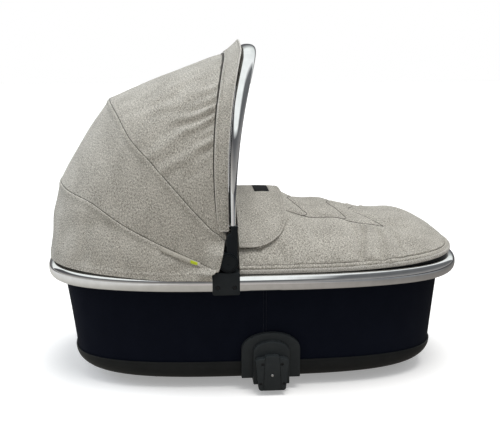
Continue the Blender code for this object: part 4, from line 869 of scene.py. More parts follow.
FRONT_SWAY = (
    (0.0, 0.0018), (0.24, 0.0045), (0.45, 0.0048), (0.60, 0.0056), (0.76, 0.0080), (0.93, 0.0), (1.0, 0.0),
)
REAR_SWAY = (
    (0.0, 0.0072), (0.17, 0.0066), (0.34, 0.0053), (0.58, 0.0016), (0.79, -0.0065), (0.95, 0.0), (1.0, 0.0),
)
FRONT_SEAM = ((-0.0112, 0.0410), (-0.2263, 0.2909), FRONT_SWAY)
REAR_SEAM = ((-0.0225, -0.0110), (-0.3298, 0.1297), REAR_SWAY)
FREE_EDGE = ((0.235, -0.0962), (0.252, -0.0969), (0.2595, -0.0876), (0.280, -0.0841), (0.3115, -0.0763),
             (0.3185, -0.0751), (0.3295, -0.0815))
HEM_WIDTH = 0.0085
HEM_STITCH = HEM_WIDTH - 0.0014
HOOD_INSIDE = np.array([-0.20, 0.0, 0.33])
VISOR_INSIDE = np.array([-0.075, 0.0, 0.42])
TACK_Z = 0.4095
HOOD_CLOTH = 0.0016
SEAM_CORD = (0.0010, 0.0008)


def seam_ridge(distance):
    """Raised seam allowance beside a seam, with the groove of the seam and of its top stitching."""
    width = 0.0080
    allowance = 0.0015 * window(distance, -0.01, width, 0.004)
    return allowance + valley(distance, 0.0017, 0.0011) + valley(distance - width + 0.0012, 0.0006, 0.0008)


def gathers(grid, distance, along):
    """Folds that start at the visor's seam, run rearwards and fade with distance."""
    drift = 0.009 * wander(grid, 0.05, 2.0)
    fine = np.cos(math.tau * (along + drift) / 0.0240)
    middle = 0.6 * np.cos(math.tau * (along - 0.7 * drift) / 0.0385 + 1)
    broad = 0.85 * np.cos(math.tau * (along + 2.2 * drift) / 0.0420 + 0.6)
    strength = window(grid[0, :, 2], 0.490, 0.615, 0.045) * (0.8 + 0.8 * wander(grid, 0.05, 7.0))
    near = (fine + middle) * np.exp(-((distance / 0.052) ** 1.3))
    far = broad * np.exp(-((distance / 0.135) ** 2))
    return 0.0034 * strength * (1 - np.exp(-distance / 0.006)) * (near + far)


def flared(points):
    """The cloth by the hinges, drawn forwards and lifted outside the hubs."""
    x, y, z = np.moveaxis(points, -1, 0)
    heights, places = np.array(FREE_EDGE).T
    behind = np.clip((np.interp(z, heights, places) - x) / 0.034, 0, 1)
    near = 1 - behind * behind * (3 - 2 * behind)
    forward = 0.0066 * window(z, 0.257, 0.320, 0.010) * near
    outward = 0.0195 * window(z, 0.256, 0.284, 0.028) * near
    return points + np.stack([forward, np.sign(y) * outward, np.zeros_like(x)], axis=-1)


def hood_relief(name, grid, share, from_front, from_rear, from_end):
    """How far a panel of the hood stands off the plain surface between its seams."""
    away = np.clip(np.minimum(from_front, from_rear) / 0.02, 0, 1)
    puff = 0.0035 * 4 * share * (1 - share) * np.clip((from_front + from_rear) / 0.15, 0, 1)
    soft = 0.0016 * wander(grid, 0.11, 1.0) + 0.0007 * wander(grid, 0.035, 4.0)
    hem = 0.0008 * window(from_end, -0.01, HEM_WIDTH, 0.0016) + valley(from_end - HEM_STITCH, 0.0007, 0.0009)
    offset = puff + soft * away + hem
    if name == "canopy_front":
        along = np.broadcast_to(run(grid[0]), share.shape)
        offset = offset + gathers(grid, from_front, along) + valley(from_front, 0.0012, 0.0012)
    else:
        offset = offset + seam_ridge(from_front)
    if name != "canopy_rear":
        return offset + valley(from_rear, 0.0014, 0.0010)
    crease = wander(grid * (1.0, 1.0, 0.35), 0.03, 11.0) * window(from_rear, -0.01, 0.05, 0.06)
    sag = wander(grid, 0.055, 14.0) * window(from_rear, -0.01, 0.09, 0.05)
    return offset + (0.0030 * crease + 0.0042 * sag) * away + 0.0010 * window(from_rear, -0.01, 0.010, 0.002)


def make_hem_rows(name, shape, normals, share, from_end, bodies):
    """The stitching inside the two free ends of a hood panel."""
    both = np.concatenate([shape, normals], axis=-1)
    inner = slice(3, -3)
    for side_name, step in (("right", 1), ("left", -1)):
        spots = []
        for line, gap in zip(both[inner, ::step], from_end[inner, ::step]):
            spots.append(blended(line, np.interp(HEM_STITCH, gap[:40], np.arange(40))))
        path, out = np.split(np.array(spots), 2, axis=1)
        if run(path)[-1] > 0.012:
            row = stitches(f"{name}_hem_stitches_{side_name}", path, out, "thread", hold=1 - share[inner, 0])
            bend(row, *bodies, "melange_fabric")


def make_hood():
    """Three panels from the visor to the hem, with seams, gathers and soft creases."""
    visor_seam = visor_rib(1.0, 0.0045) - (0.0006, 0, 0)
    first, second, hem = seam_rib(*FRONT_SEAM), seam_rib(*REAR_SEAM), hem_rib()
    specs = (
        ("canopy_front", visor_seam, first, (-0.0100, 0.0480), 64, "front_bow", "handle"),
        ("canopy_middle", first, second, (-0.0190, 0.0095), 44, "rear_bow", "front_bow"),
        ("canopy_rear", second, hem, (-0.0318, -0.0185), 40, "root", "rear_bow"),
    )
    panels = {}
    for name, front, rear, cut_point, rows, *bodies in specs:
        grid, share, from_front, from_rear = panel(front, rear, cut_point, rows)
        lengths = np.array([run(line) for line in grid])
        from_end = np.minimum(lengths, lengths[:, -1:] - lengths)
        relief = hood_relief(name, grid, share, from_front, from_rear, from_end)
        shape = flared(grid + grid_normals(grid, HOOD_INSIDE) * relief[..., None])
        normals = grid_normals(shape, HOOD_INSIDE)
        made = cloth(f"{name}_cloth", shape, HOOD_CLOTH, "melange", HOOD_INSIDE, hold=1 - share)
        bend(made, *bodies, "melange_fabric", name)
        panels[name] = (shape, normals, share, from_front, from_rear)
        make_hem_rows(name, shape, normals, share, from_end, bodies)
    return panels


def line_on(part, distance, from_rear=False):
    """A line over a panel at a distance from its front or rear seam, with normals and shares."""
    shape, normals, share, front, rear = part
    last, columns = shape.shape[0] - 1, np.arange(shape.shape[1])
    gap = rear[::-1] if from_rear else front
    spots = np.array([np.interp(distance, gap[:, column], np.arange(last + 1)) for column in columns])
    if from_rear:
        spots = last - spots
    low = np.floor(spots).astype(int).clip(0, last - 1)
    part_way = (spots - low)[:, None]
    values = np.concatenate([shape, normals, share[..., None]], axis=-1)
    line = (1 - part_way) * values[low, columns] + part_way * values[low + 1, columns]
    return line[:, :3], unit(line[:, 3:6]), line[:, 6]


def away_from_ends(path, distance):
    """Which points of a path are further from both its ends than a distance."""
    along = run(path)
    return (along > distance) & (along < along[-1] - distance)


def make_seams(panels):
    """Seam lines and rows of stitching on the hood."""
    # These two dark cords at the visor's rear join are its seam and also painted shade of the crease under
    # the visor's rear edge.
    path, out, share = line_on(panels["canopy_front"], 0.0022)
    line = cord("visor_seam", path, out, SEAM_CORD, "seam", hold=1 - share)
    bend(line, "front_bow", "handle", "melange_fabric")
    path = visor_rib(1.0, 0.0053) - (0.0006, 0, 0)
    path = path[path[:, 2] > VISOR_BASE_Z + 0.064]
    line = cord("visor_join", path, path - VISOR_INSIDE, (0.0022, 0.0024), "seam", sides=12)
    belongs(line, "handle", "melange_fabric")
    for name, panel_name, body in (
        ("front_seam", "canopy_middle", "front_bow"), ("rear_seam", "canopy_rear", "rear_bow"),
    ):
        shape, normals = panels[panel_name][:2]
        inner = away_from_ends(shape[0], 0.014)
        line = cord(name, shape[0][inner], normals[4][inner], SEAM_CORD, "seam", sink=0.0006)
        belongs(line, body, "melange_fabric")
    for name, panel_name, distance, from_rear, near, far in (
        ("front_seam_stitches", "canopy_middle", 0.0066, False, "rear_bow", "front_bow"),
        ("rear_seam_stitches", "canopy_rear", 0.0066, False, "root", "rear_bow"),
        ("hem_stitches", "canopy_rear", 0.0085, True, "root", "rear_bow"),
    ):
        path, out, share = line_on(panels[panel_name], distance, from_rear)
        inner = away_from_ends(path, 0.016)
        row = stitches(name, path[inner], out[inner], "thread", hold=1 - share[inner])
        bend(row, near, far, "melange_fabric")


def make_tag(panels):
    """The ribbon beside the rear seam on the right side, with a lime mark near its lower end."""
    lines = [line_on(panels["canopy_rear"], distance) for distance in np.linspace(0.0015, 0.0095, 9)]
    values = np.array([np.column_stack(line) for line in lines])[:, :RIB_STEPS // 2]
    for name, span, count, rows, lift, swell, thickness, look, nodes in (
        ("seam_ribbon", (-0.1180, -0.1915), 60, (0, 9), 0.0026, 0.0005, 0.0008, "ribbon", ("seam_tag",)),
        ("ribbon_mark", (-0.1235, -0.1365), 12, (1, 8), 0.0034, 0.0, 0.0006, "lime", ()),
    ):
        wanted = np.linspace(*span, count)
        strip = np.array([read_at(-wanted, -row[:, 0], row) for row in values[slice(*rows)]])
        grid = strip[..., :3] + unit(strip[..., 3:6]) * lift
        grid[..., 1] -= swell * np.sin(np.linspace(0, math.pi, len(grid)))[:, None]
        tape = cloth(name, grid, thickness, look, HOOD_INSIDE, hold=1 - strip[..., 6])
        bend(tape, "root", "rear_bow", "ribbon", *nodes)


def make_visor():
    """The wide band behind the arch: folded edges with cords of painted highlight, stitching and a bar tack
    on each side.
    """
    steps = np.concatenate([
        [0, 0.02, 0.045, 0.08, 0.12, 0.16, 0.20, 0.24, 0.28], np.linspace(0.34, 0.70, 7),
        [0.75, 0.79, 0.83, 0.87, 0.91, 0.95, 0.975, 1.0],
    ])
    grid = np.array([visor_rib(share) for share in steps])
    normals = grid_normals(grid, VISOR_INSIDE)
    across = np.broadcast_to(steps[:, None], grid.shape[:2])
    width = np.linalg.norm(grid[-1] - grid[0], axis=1)
    from_front, from_rear = across * width, (1 - across) * width
    along = run(grid[0])
    from_end = np.minimum(along, along[-1] - along)
    edge = 0.0008 * window(from_front, -0.01, 0.0030, 0.0012) + valley(from_front, 0.0007, 0.0007)
    seam = 0.0008 * window(from_rear, -0.01, 0.0040, 0.0016) + valley(from_rear, 0.0022, 0.0011)
    hem = 0.0008 * window(from_end, -0.01, 0.0075, 0.002)
    soft = 0.0009 * wander(grid, 0.05, 21.0) + 0.0005 * wander(grid, 0.02, 22.0)
    offset = edge + seam + hem + soft * window(from_front, 0.006, 1, 0.006) - 0.0004
    shape = grid + normals * offset[..., None]
    band = cloth("visor_cloth", shape, 0.0026, "melange", VISOR_INSIDE)
    belongs(band, "handle", "melange_fabric", "visor_band")
    # The pale cords on the visor's four edges are painted highlight of the light caught by its folded edges.
    for name, line, out in (
        ("visor_highlight_front", shape[1], normals[1]), ("visor_highlight_rear", shape[-1], normals[-1]),
        ("visor_hem_highlight_right", shape[:, 0], normals[:, 0]), ("visor_hem_highlight_left", shape[:, -1], normals[:, -1]),
    ):
        highlight_cord = cord(name, line, out, (0.0012, 0.0010), "painted_highlight", sink=0.0004, sides=10)
        belongs(highlight_cord, "handle", "melange_fabric")
    part = (shape, normals, across, from_front, from_rear)
    inner = away_from_ends(grid[0], 0.008)
    for side_name, distance in (("front", 0.0048), ("rear", 0.0062)):
        path, out, _ = line_on(part, distance, from_rear=side_name == "rear")
        row = stitches(f"visor_{side_name}_stitches", path[inner], out[inner], "thread")
        belongs(row, "handle", "melange_fabric")
    tack = int(np.abs(grid[0, :RIB_STEPS // 2, 2] - TACK_Z).argmin())
    for side_name, column in (("right", tack), ("left", RIB_STEPS - 1 - tack)):
        for k in range(3):
            path = shape[6:18, column] + (0, 0, (k - 1) * 0.0007)
            row = stitches(f"bar_tack_{k}_{side_name}", path, normals[6:18, column], "pale_thread")
            belongs(row, "handle", "melange_fabric")


def apron_points(x, side_share):
    """Points of the apron's top face at x and at shares of its half width, as arrays."""
    reach = (x - APRON_FRONT_X) / (RAIL_HALF_LENGTH + APRON_OUTSET - APRON_FRONT_X)
    y = side_share * rail_half_width(x, APRON_OUTSET)
    dome = np.clip(1 - np.abs(side_share) ** 2.2, 0, 1) ** 0.72
    rise = APRON_HEIGHT * np.clip(smooth_curve(APRON_CREST_SHARES, reach), 0, 1) * dome + APRON_EDGE
    return np.stack([x, y, rim_top(x) + GAP + rise], axis=-1)


def edge_distance(grid, lines):
    """Distance of each grid point to the nearest point of some lines."""
    flat, lines = grid.reshape(-1, 3), np.concatenate(lines)
    nearest = [np.linalg.norm(flat[k:k + 2000, None] - lines[None], axis=2).min(1)
               for k in range(0, len(flat), 2000)]
    return np.concatenate(nearest).reshape(grid.shape[:2])


QUILT_HALF_WIDTH = 0.095
LOBES = ((0.1040, 0.030, 0.016), (0.1850, 0.027, 0.016), (0.2610, 0.056, 0.0))
FOLDS = ((0.186, 0.08, 0.0050), (0.213, -0.14, 0.0080), (0.243, -0.02, 0.0068), (0.270, 0.12, 0.0024))
EDGE_SEAM = 0.0115
APRON_INSIDE = np.array([0.10, 0.0, 0.2])


def quilt_paths():
    """The quilting seams from above: two long ones, and one round the end of each lobe."""
    long_seam = np.linspace(APRON_FRONT_X + 0.085, LOBES[-1][0], 110)
    paths = {
        "long_right": np.column_stack([long_seam, np.full(110, -QUILT_HALF_WIDTH)]),
        "long_left": np.column_stack([long_seam, np.full(110, QUILT_HALF_WIDTH)]),
    }
    for number, (end, set_back, corner) in enumerate(LOBES):
        y = np.linspace(0, QUILT_HALF_WIDTH - corner, 60)
        x = end - set_back * (1 - (y / y[-1]) ** 1.5)
        turn = np.linspace(0, QUARTER_TURN, 12)[1:] if corner else np.array([])
        x = np.concatenate([x, end - corner * (1 - np.cos(turn))])
        y = np.concatenate([y, QUILT_HALF_WIDTH - corner * (1 - np.sin(turn))])
        paths[f"lobe_{number}"] = np.column_stack([np.append(x[:0:-1], x), np.append(-y[:0:-1], y)])
    return paths


def apron_relief(grid, x, from_edge, from_quilting):
    """How far the apron's cover stands off its plain surface."""
    pucker = wander(grid * (1.0, 1.0, 0.5), 0.011, 31.0) * np.exp(-from_quilting / 0.012)
    quilt = valley(from_quilting, 0.0032, 0.0062) + 0.0007 * pucker
    offset = quilt * window(from_edge, 0.02, 1, 0.02)
    aside = np.abs(grid[..., 1])
    drift = 0.006 * wander(grid, 0.05, 33.0)
    reach = window(aside, QUILT_HALF_WIDTH + 0.024, 0.186, 0.020)
    for start, slant, height in FOLDS:
        line = start + slant * (aside - QUILT_HALF_WIDTH) + drift
        fold = valley(x - line, 1, 0.0052) - valley(x - line - 0.0120, 0.55, 0.0070)
        offset = offset + height * fold * reach
    soft = 0.0017 * wander(grid, 0.075, 35.0) + 0.0006 * wander(grid, 0.025, 37.0)
    hem = 0.0012 * window(from_edge, 0.003, EDGE_SEAM - 0.003, 0.002)
    rolled = -0.0035 * np.exp(-from_edge / 0.0022)
    seam = valley(from_edge - EDGE_SEAM, 0.0021, 0.0016)
    return offset + soft * window(from_edge, 0.008, 1, 0.02) + seam + hem + rolled - 0.0006


def make_apron():
    """The padded cover: quilted lobes down its middle, soft folds and a bound, stitched edge."""
    turns = np.linspace(0, QUARTER_TURN, 171)
    tip = APRON_FRONT_X + (RAIL_HALF_LENGTH + APRON_OUTSET - APRON_FRONT_X) * 0.9994
    xs = APRON_FRONT_X + (tip - APRON_FRONT_X) * (0.35 * np.sin(turns) + 0.65 * turns / QUARTER_TURN)
    shares = np.sin(np.linspace(-QUARTER_TURN, QUARTER_TURN, 151) * 0.999)
    shares = 0.5 * shares + 0.5 * np.linspace(-1, 1, 151)
    x, s = np.meshgrid(xs, shares, indexing="ij")
    grid = apron_points(x, s)
    normals = grid_normals(grid, APRON_INSIDE)
    from_edge = edge_distance(grid, [grid[:, 0], grid[:, -1], grid[-1]])
    from_quilting = edge_distance(grid * (1, 1, 0), [raised(path, 0) for path in quilt_paths().values()])
    shape = grid + normals * apron_relief(grid, x, from_edge, from_quilting)[..., None]
    cover = cloth("apron_cover", shape, 0.0065, "melange", APRON_INSIDE)
    belongs(cover, "root", "melange_fabric", "apron")
    pins = (from_quilting < 0.003) & (from_edge > 0.02) | (from_edge < 0.012)
    settle(cover, pins.reshape(-1), 0.8, 0.005)
    shape = np.array([v.co for v in cover.data.vertices]).reshape(grid.shape)
    make_binding(spaced(np.concatenate([grid[:, 0], grid[-1, 1:-1], grid[::-1, -1]]), 420))
    make_quilt_lines(shape, grid_normals(shape, APRON_INSIDE), xs, shares)
    make_apron_stitches(shape, normals, from_edge)


def make_binding(path):
    """The rounded tape round the apron's edge."""
    along = unit(np.gradient(path, axis=0))
    out = unit(np.cross(along, np.broadcast_to((0, 0, 1), path.shape)))
    middle = len(path) // 2
    if np.dot(out[middle], path[middle] * (1, 1, 0)) < 0:
        out = -out
    up = unit(np.cross(out, along))
    up = up * np.sign(up[:, 2:3])
    wave = 0.0004 * wander(path, 0.03, 41.0)
    centre = path - out * 0.0016 - up * 0.0022 + up * wave[:, None]
    binding = swept("apron_binding", centre, out, up, oval(0.0026, 0.0044, 18, 2.6), "binding")
    belongs(binding, "root", "melange_fabric")


def make_quilt_lines(shape, normals, xs, shares):
    """The sunk thread lines along the two long seams and round the ends of the quilted lobes."""
    both = np.concatenate([shape, normals], axis=-1)
    for name, plan in quilt_paths().items():
        x, y = plan.T
        rows = np.interp(x, xs, np.arange(len(xs)))
        columns = np.interp(y / rail_half_width(x, APRON_OUTSET), shares, np.arange(len(shares)))
        spots = [blended(blended(both, row), column) for row, column in zip(rows, columns)]
        path, out = np.split(np.array(spots), 2, axis=1)
        line = cord(f"quilt_line_{name}", path, unit(out), (0.0008, 0.0009), "quilt_line", sink=-0.0002)
        belongs(line, "root", "melange_fabric")


def make_apron_stitches(shape, normals, from_edge):
    """The sunk line and the stitching inside the apron's bound edge."""
    both = np.concatenate([shape, normals], axis=-1)
    rows, columns = from_edge.shape
    half = np.arange(columns // 2)
    spots, left_spots = [], []
    for row in range(2, rows):
        near = np.interp(EDGE_SEAM, from_edge[row, half], half)
        if from_edge[row, len(half)] < EDGE_SEAM:
            break
        far = columns - 1 - np.interp(EDGE_SEAM, from_edge[row, ::-1][half], half)
        spots.append(blended(both[row], near))
        left_spots.append(blended(both[row], far))
    for column in range(int(near) + 2, columns - int(near) - 2):
        down = rows - 1 - np.interp(EDGE_SEAM, from_edge[::-1, column], np.arange(rows))
        spots.append(blended(both[:, column], down))
    path, out = np.split(np.array(spots + left_spots[::-1]), 2, axis=1)
    belongs(stitches("apron_edge_stitches", path, unit(out), "thread"), "root", "melange_fabric")
    line = cord("apron_edge_line", path, unit(out), (0.0008, 0.0006), "quilt_line", sink=0.0004)
    belongs(line, "root", "melange_fabric")


def settle(piece, pinned, pressure, cap):
    """Runs cloth on a piece: pressure swells it between pinned points, and no point moves past a cap."""
    others = list(piece.modifiers)
    for modifier in others:
        modifier.show_viewport = False
    mesh = piece.data
    start = np.array([v.co for v in mesh.vertices])
    group = piece.vertex_groups.new(name="pinned")
    group.add([int(k) for k in np.flatnonzero(pinned)], 1.0, "REPLACE")
    run_cloth = piece.modifiers.new("settle", "CLOTH")
    settings = run_cloth.settings
    settings.quality = 5
    settings.mass = 0.25
    settings.tension_stiffness = settings.compression_stiffness = 12
    settings.shear_stiffness = 4
    settings.bending_stiffness = 0.6
    settings.vertex_group_mass = "pinned"
    settings.shrink_min = -0.02
    settings.use_pressure = True
    settings.uniform_pressure_force = pressure
    settings.effector_weights.gravity = 0
    run_cloth.collision_settings.use_collision = False
    last_frame = 20
    run_cloth.point_cache.frame_start = 1
    run_cloth.point_cache.frame_end = last_frame
    scene = bpy.context.scene
    for step in range(1, last_frame + 1):
        scene.frame_set(step)
    evaluated = piece.evaluated_get(bpy.context.evaluated_depsgraph_get())
    moved = np.array([v.co for v in evaluated.to_mesh().vertices])
    evaluated.to_mesh_clear()
    shift = moved - start
    length = np.linalg.norm(shift, axis=1, keepdims=True)
    shift = shift * cap * np.tanh(length / cap) / np.maximum(length, 1e-9)
    mesh.vertices.foreach_set("co", (start + shift).astype(np.float32).ravel())
    mesh.update()
    piece.modifiers.remove(run_cloth)
    piece.vertex_groups.remove(group)
    scene.frame_set(1)
    for modifier in others:
        modifier.show_viewport = True


def flap_surface(across, along, lift):
    """A grid over the wind flap's area, at a lift from the apron's top face, with its normals."""
    s, u = np.meshgrid(across, along, indexing="ij")
    length = FLAP_LENGTH * (1 - np.abs(s) ** 7) ** (1 / 3)
    x = APRON_FRONT_X + length * u
    side = s * FLAP_SIDE_SHARE
    here = apron_points(x, side)
    step = 0.004
    ahead = apron_points(x + step, side) - here
    over = apron_points(x, side + step) - apron_points(x, side - step)
    normals = unit(np.cross(ahead, over))
    return here + normals * lift, normals, s, u


def flap_hold(s, u):
    """How far the flap follows its joint: not at its sewn edge or its two sides."""
    rise = np.clip(u, 0, 1)
    return rise * rise * (3 - 2 * rise) * (1 - np.abs(s) ** 4)


FLAP_SEAMS = (("flap_stitches", 0.0092), ("flap_edge_stitches", 0.0050))
FLAP_LIFT = 0.0058
FLAP_CURL = 0.0046
FLAP_INSIDE = np.array([0.0, 0.0, 0.2])


def make_flap():
    """The wind flap, folded back on the apron, with a stitched border."""
    across = np.sin(np.linspace(-QUARTER_TURN, QUARTER_TURN, 171)) * 0.991
    along = np.linspace(0, 1, 45)
    grid, normals, s, u = flap_surface(across, along, 0.0)
    from_edge = edge_distance(grid, [grid[0], grid[-1], grid[:, -1]])
    sewn_lines = valley(from_edge - 0.0092, 0.0011, 0.0013) + valley(from_edge - 0.0050, 0.0007, 0.0009)
    rolled = -0.0016 * np.exp(-from_edge / 0.0016)
    soft = 0.0008 * wander(grid, 0.045, 51.0) + 0.0004 * wander(grid, 0.018, 53.0)
    curl = FLAP_CURL * u**5 + 0.0014 * u**3 * wander(grid * (0, 1, 0), 0.07, 55.0)
    lift = FLAP_LIFT + sewn_lines + rolled + soft * window(from_edge, 0.004, 1, 0.01) + curl
    shape = grid + normals * lift[..., None]
    hold = flap_hold(s, u)
    flap = cloth("wind_flap_cloth", shape, 0.0042, "melange", FLAP_INSIDE, hold=hold)
    bend(flap, "root", "flap", "melange_fabric", "wind_flap")
    values = np.concatenate([shape, normals, hold[..., None]], axis=-1)
    for name, distance in FLAP_SEAMS:
        spots = []
        for line, gap in zip(values, from_edge):
            if gap.max() > distance:
                spot = len(along) - 1 - np.interp(distance, gap[::-1], np.arange(len(along)))
                spots.append(blended(line, spot))
        spots = np.array(spots)
        row = stitches(name, spots[:, :3], unit(spots[:, 3:6]), "thread", hold=spots[:, 6])
        bend(row, "root", "flap", "melange_fabric")


def make_patch():
    """The plain dark patch on the flap: a backing and its slightly smaller face."""
    half_width = rail_half_width(APRON_FRONT_X, APRON_OUTSET) * FLAP_SIDE_SHARE
    for name, grow, lift, thickness, nodes in (
        ("plain_patch", 0.0, 0.0069, 0.0010, ("label_patch",)), ("patch_face", -0.0022, 0.0073, 0.0006, ()),
    ):
        sides = np.linspace(-0.035 - grow, 0.028 + grow, 25) / half_width
        ends = np.linspace(0.0425 - grow, 0.0725 + grow, 15) / FLAP_LENGTH
        grid, normals, s, u = flap_surface(sides, ends, lift)
        shape = grid + normals * FLAP_CURL * (u**5)[..., None]
        patch = cloth(name, shape, thickness, "patch", FLAP_INSIDE, hold=flap_hold(s, u))
        bend(patch, "root", "flap", "black_fabric", *nodes)


def prism(name, outline, near_y, far_y, look):
    """A solid with one outline from the side, between two places across the cot."""
    loops = [np.array([(x, y, z) for x, z in outline]) for y in (near_y, far_y)]
    return loft(name, loops, look)


def turned(name, profile, x, z, look, steps=64, ring=False):
    """A round solid with its axis across the cot, from (radius, y) pairs."""
    angles = np.linspace(0, math.tau, steps, endpoint=False)
    loops = []
    for radius, y in profile:
        side, up = x + radius * np.cos(angles), z + radius * np.sin(angles)
        loops.append(np.column_stack([side, np.full(steps, y), up]))
    return loft(name, loops, look, ring=ring)


def shape_of(piece):
    """Applies a piece's modifiers to its mesh."""
    graph = bpy.context.evaluated_depsgraph_get()
    mesh = bpy.data.meshes.new_from_object(piece.evaluated_get(graph))
    piece.modifiers.clear()
    piece.data = mesh
    return piece


def combined(piece, operation, *others):
    """Joins or cuts a piece with helpers, which are then removed."""
    for other in others:
        shape_of(other)
        step = piece.modifiers.new(other.name, "BOOLEAN")
        step.operation = operation
        step.solver = "EXACT"
        step.object = other
    shape_of(piece)
    for other in others:
        bpy.data.objects.remove(other)
    return piece


def arched(half_width, spring_z, top_z, bottom_z, x, steps=40):
    """An outline from the side with straight flanks and a half round top."""
    points = [(x + half_width, bottom_z)]
    for angle in np.linspace(0, math.pi, steps + 1):
        points.append((x + half_width * math.cos(angle), spring_z + (top_z - spring_z) * math.sin(angle)))
    points.append((x - half_width, bottom_z))
    return points


def hinge_layers(side):
    """Places across the cot of the ear's two faces, the hub's two faces and the block's outer face."""
    half_width = rail_half_width(BLOCK_X)
    ear = half_width - RAIL_TUBE_WIDTH / 2 - 0.003
    hub = ear + 0.008 + 2 * (GAP + 0.003) + 0.0008
    outer = half_width + RAIL_TUBE_WIDTH / 2 + 0.0038
    return [side * y for y in (ear, ear + 0.008, hub, hub + 0.0215, outer)]


QUARTER_ARC = [(math.sin(angle), math.cos(angle)) for angle in np.linspace(0, QUARTER_TURN, 6)]


def make_block(side_name, side):
    """The moulded clamp over the joint of the rail, with the ear for the hinge pin and two screw recesses."""
    ear, ear_face, _, _, outer = hinge_layers(side)
    low, high, half = RAIL_Z - 0.0185, RAIL_Z + 0.0255, 0.026
    corner = 0.0035
    outline = []
    for x, z, start in ((half, high, 0), (-half, high, 1), (-half, low, 2), (half, low, 3)):
        middle_x = BLOCK_X + x - math.copysign(corner, x)
        middle_z = z - corner if z == high else z + corner
        for angle in np.linspace(start * QUARTER_TURN, (start + 1) * QUARTER_TURN, 6):
            outline.append((middle_x + corner * math.cos(angle), middle_z + corner * math.sin(angle)))
    block = bevel(prism(f"clamp_block_{side_name}", outline, ear, outer, "clamp"), 0.0016)
    lug_outline = arched(0.0165, HINGE_Z, HINGE_Z + 0.0165, high - 0.0018, HINGE_X)
    combined(block, "UNION", bevel(prism("lug", lug_outline, ear, ear_face, "black"), 0.0008))
    middle = rail_outline(0)
    near = (np.abs(middle[:, 0] - BLOCK_X) < 0.07) & (side * middle[:, 1] > 0)
    bore = ((0.0043, ear - side * 0.004), (0.0043, ear_face + side * 0.004))
    cuts = [rail_sweep("channel", near, 2 * GAP, "black"), turned("hole", bore, HINGE_X, HINGE_Z, "black")]
    recess = ((0.0033, -0.003), (0.0033, -0.0014), (0.0048, 0.0004))
    recess = [(radius, outer + side * past) for radius, past in recess]
    for x in (BLOCK_X - 0.016, BLOCK_X + 0.016):
        cuts.append(turned("recess", recess, x, RAIL_Z - 0.004, "black"))
    combined(block, "DIFFERENCE", *cuts)
    belongs(shaded(block), "root", "black_plastic", f"hinge_block_{side_name}")


def make_leg(side_name, side):
    """The hub round the release button and the leg that carries the arch, with a stepped shoulder."""
    _, _, face, outer, _ = hinge_layers(side)
    edge = 0.0015
    flat = HUB_RADIUS - edge
    hub = [(flat, face)]
    hub += [(flat + edge * sine, face + side * edge * (1 - cosine)) for sine, cosine in QUARTER_ARC]
    hub += [(flat + edge * cosine, outer - side * edge * (1 - sine)) for sine, cosine in QUARTER_ARC]
    leg = turned(f"handle_leg_{side_name}", hub, HINGE_X, HINGE_Z, "slate", 96)
    profile = [(-0.0035, 0), (0.0172, 0), (0.0172, LEG_LENGTH), (0.0052, LEG_LENGTH)]
    for share in np.linspace(0, 1, 9):
        ease = share * share * (3 - 2 * share)
        profile.append((0.0052 - 0.0087 * ease, 0.058 - 0.009 * share))
    collar = ((0.0044, 0.0655), (0.0178, 0.0655), (0.0178, 0.0697), (0.0044, 0.0697))
    middle = (face + outer) / 2
    extras = []
    for name, corners, reach, width, segments in (
        ("stem", profile, 0.008, 0.0022, 4), ("collar", collar, 0.0086, 0.0012, 3),
    ):
        outline = [(HINGE_X + x, HINGE_Z + z) for x, z in corners]
        extras.append(bevel(prism(name, outline, middle - reach, middle + reach, "black"), width, segments))
    combined(leg, "UNION", *extras)
    floor, past = outer - side * 0.0082, outer + side * 0.004
    pocket = turned("pocket", ((0.0154, floor), (0.0154, past)), HINGE_X, HINGE_Z, "black", 96)
    pin_hole = ((0.0044, face - side * 0.004), (0.0044, face + side * 0.0094))
    bore = turned("bore", pin_hole, HINGE_X, HINGE_Z, "black")
    floor = outer - side * 0.0010
    groove = ((0.0166, floor), (0.0166, past), (0.0176, past), (0.0176, floor))
    ring = turned("ring", groove, HINGE_X, HINGE_Z, "black", 96, ring=True)
    combined(leg, "DIFFERENCE", pocket, bore, ring)
    belongs(shaded(leg), "handle", "black_plastic", f"arch_leg_{side_name}")


def make_button(side_name, side):
    """The round release button in a hub, with a rounded rim and a shallow dish."""
    front = hinge_layers(side)[3] + side * 0.0012
    edge = 0.0012
    flat = BUTTON_RADIUS - edge
    profile = [(BUTTON_RADIUS, front - side * 0.0060), (BUTTON_RADIUS, front - side * edge)]
    profile += [(flat + edge * cosine, front - side * edge * (1 - sine)) for sine, cosine in QUARTER_ARC[1:]]
    for share in np.linspace(0, 1, 10)[1:-1]:
        dish = 0.0006 * (1 - (1 - share) ** 2)
        profile.append((flat * (1 - share), front - side * dish))
    button = turned(f"push_button_{side_name}", profile, HINGE_X, HINGE_Z, "satin", 72)
    belongs(button, f"button_{side_name}", "satin_black", f"release_button_{side_name}")


def plug_outline(steps=7):
    """The plug from the side: a raised arc over the centre panel, sloping shoulders, tapered sides."""
    half = [(PLUG_HALF_WIDTH * math.sin(angle), 0.0805 - 0.00225 * (1 - math.cos(angle)))
            for angle in np.linspace(0, QUARTER_TURN, steps)]
    half.append((PLUG_HALF_WIDTH, 0.0760))
    for angle in np.linspace(0, QUARTER_TURN, steps)[1:]:
        half.append((PLUG_HALF_WIDTH + 0.01875 * math.sin(angle), 0.0700 + 0.0060 * math.cos(angle)))
    for angle in np.linspace(0, QUARTER_TURN, steps):
        half.append((0.027 - 0.006 * (1 - math.cos(angle)), 0.0105 + 0.006 * (1 - math.sin(angle))))
    return [(ADAPTER_X + x, z) for x, z in half + [(-x, z) for x, z in half[:0:-1]]]


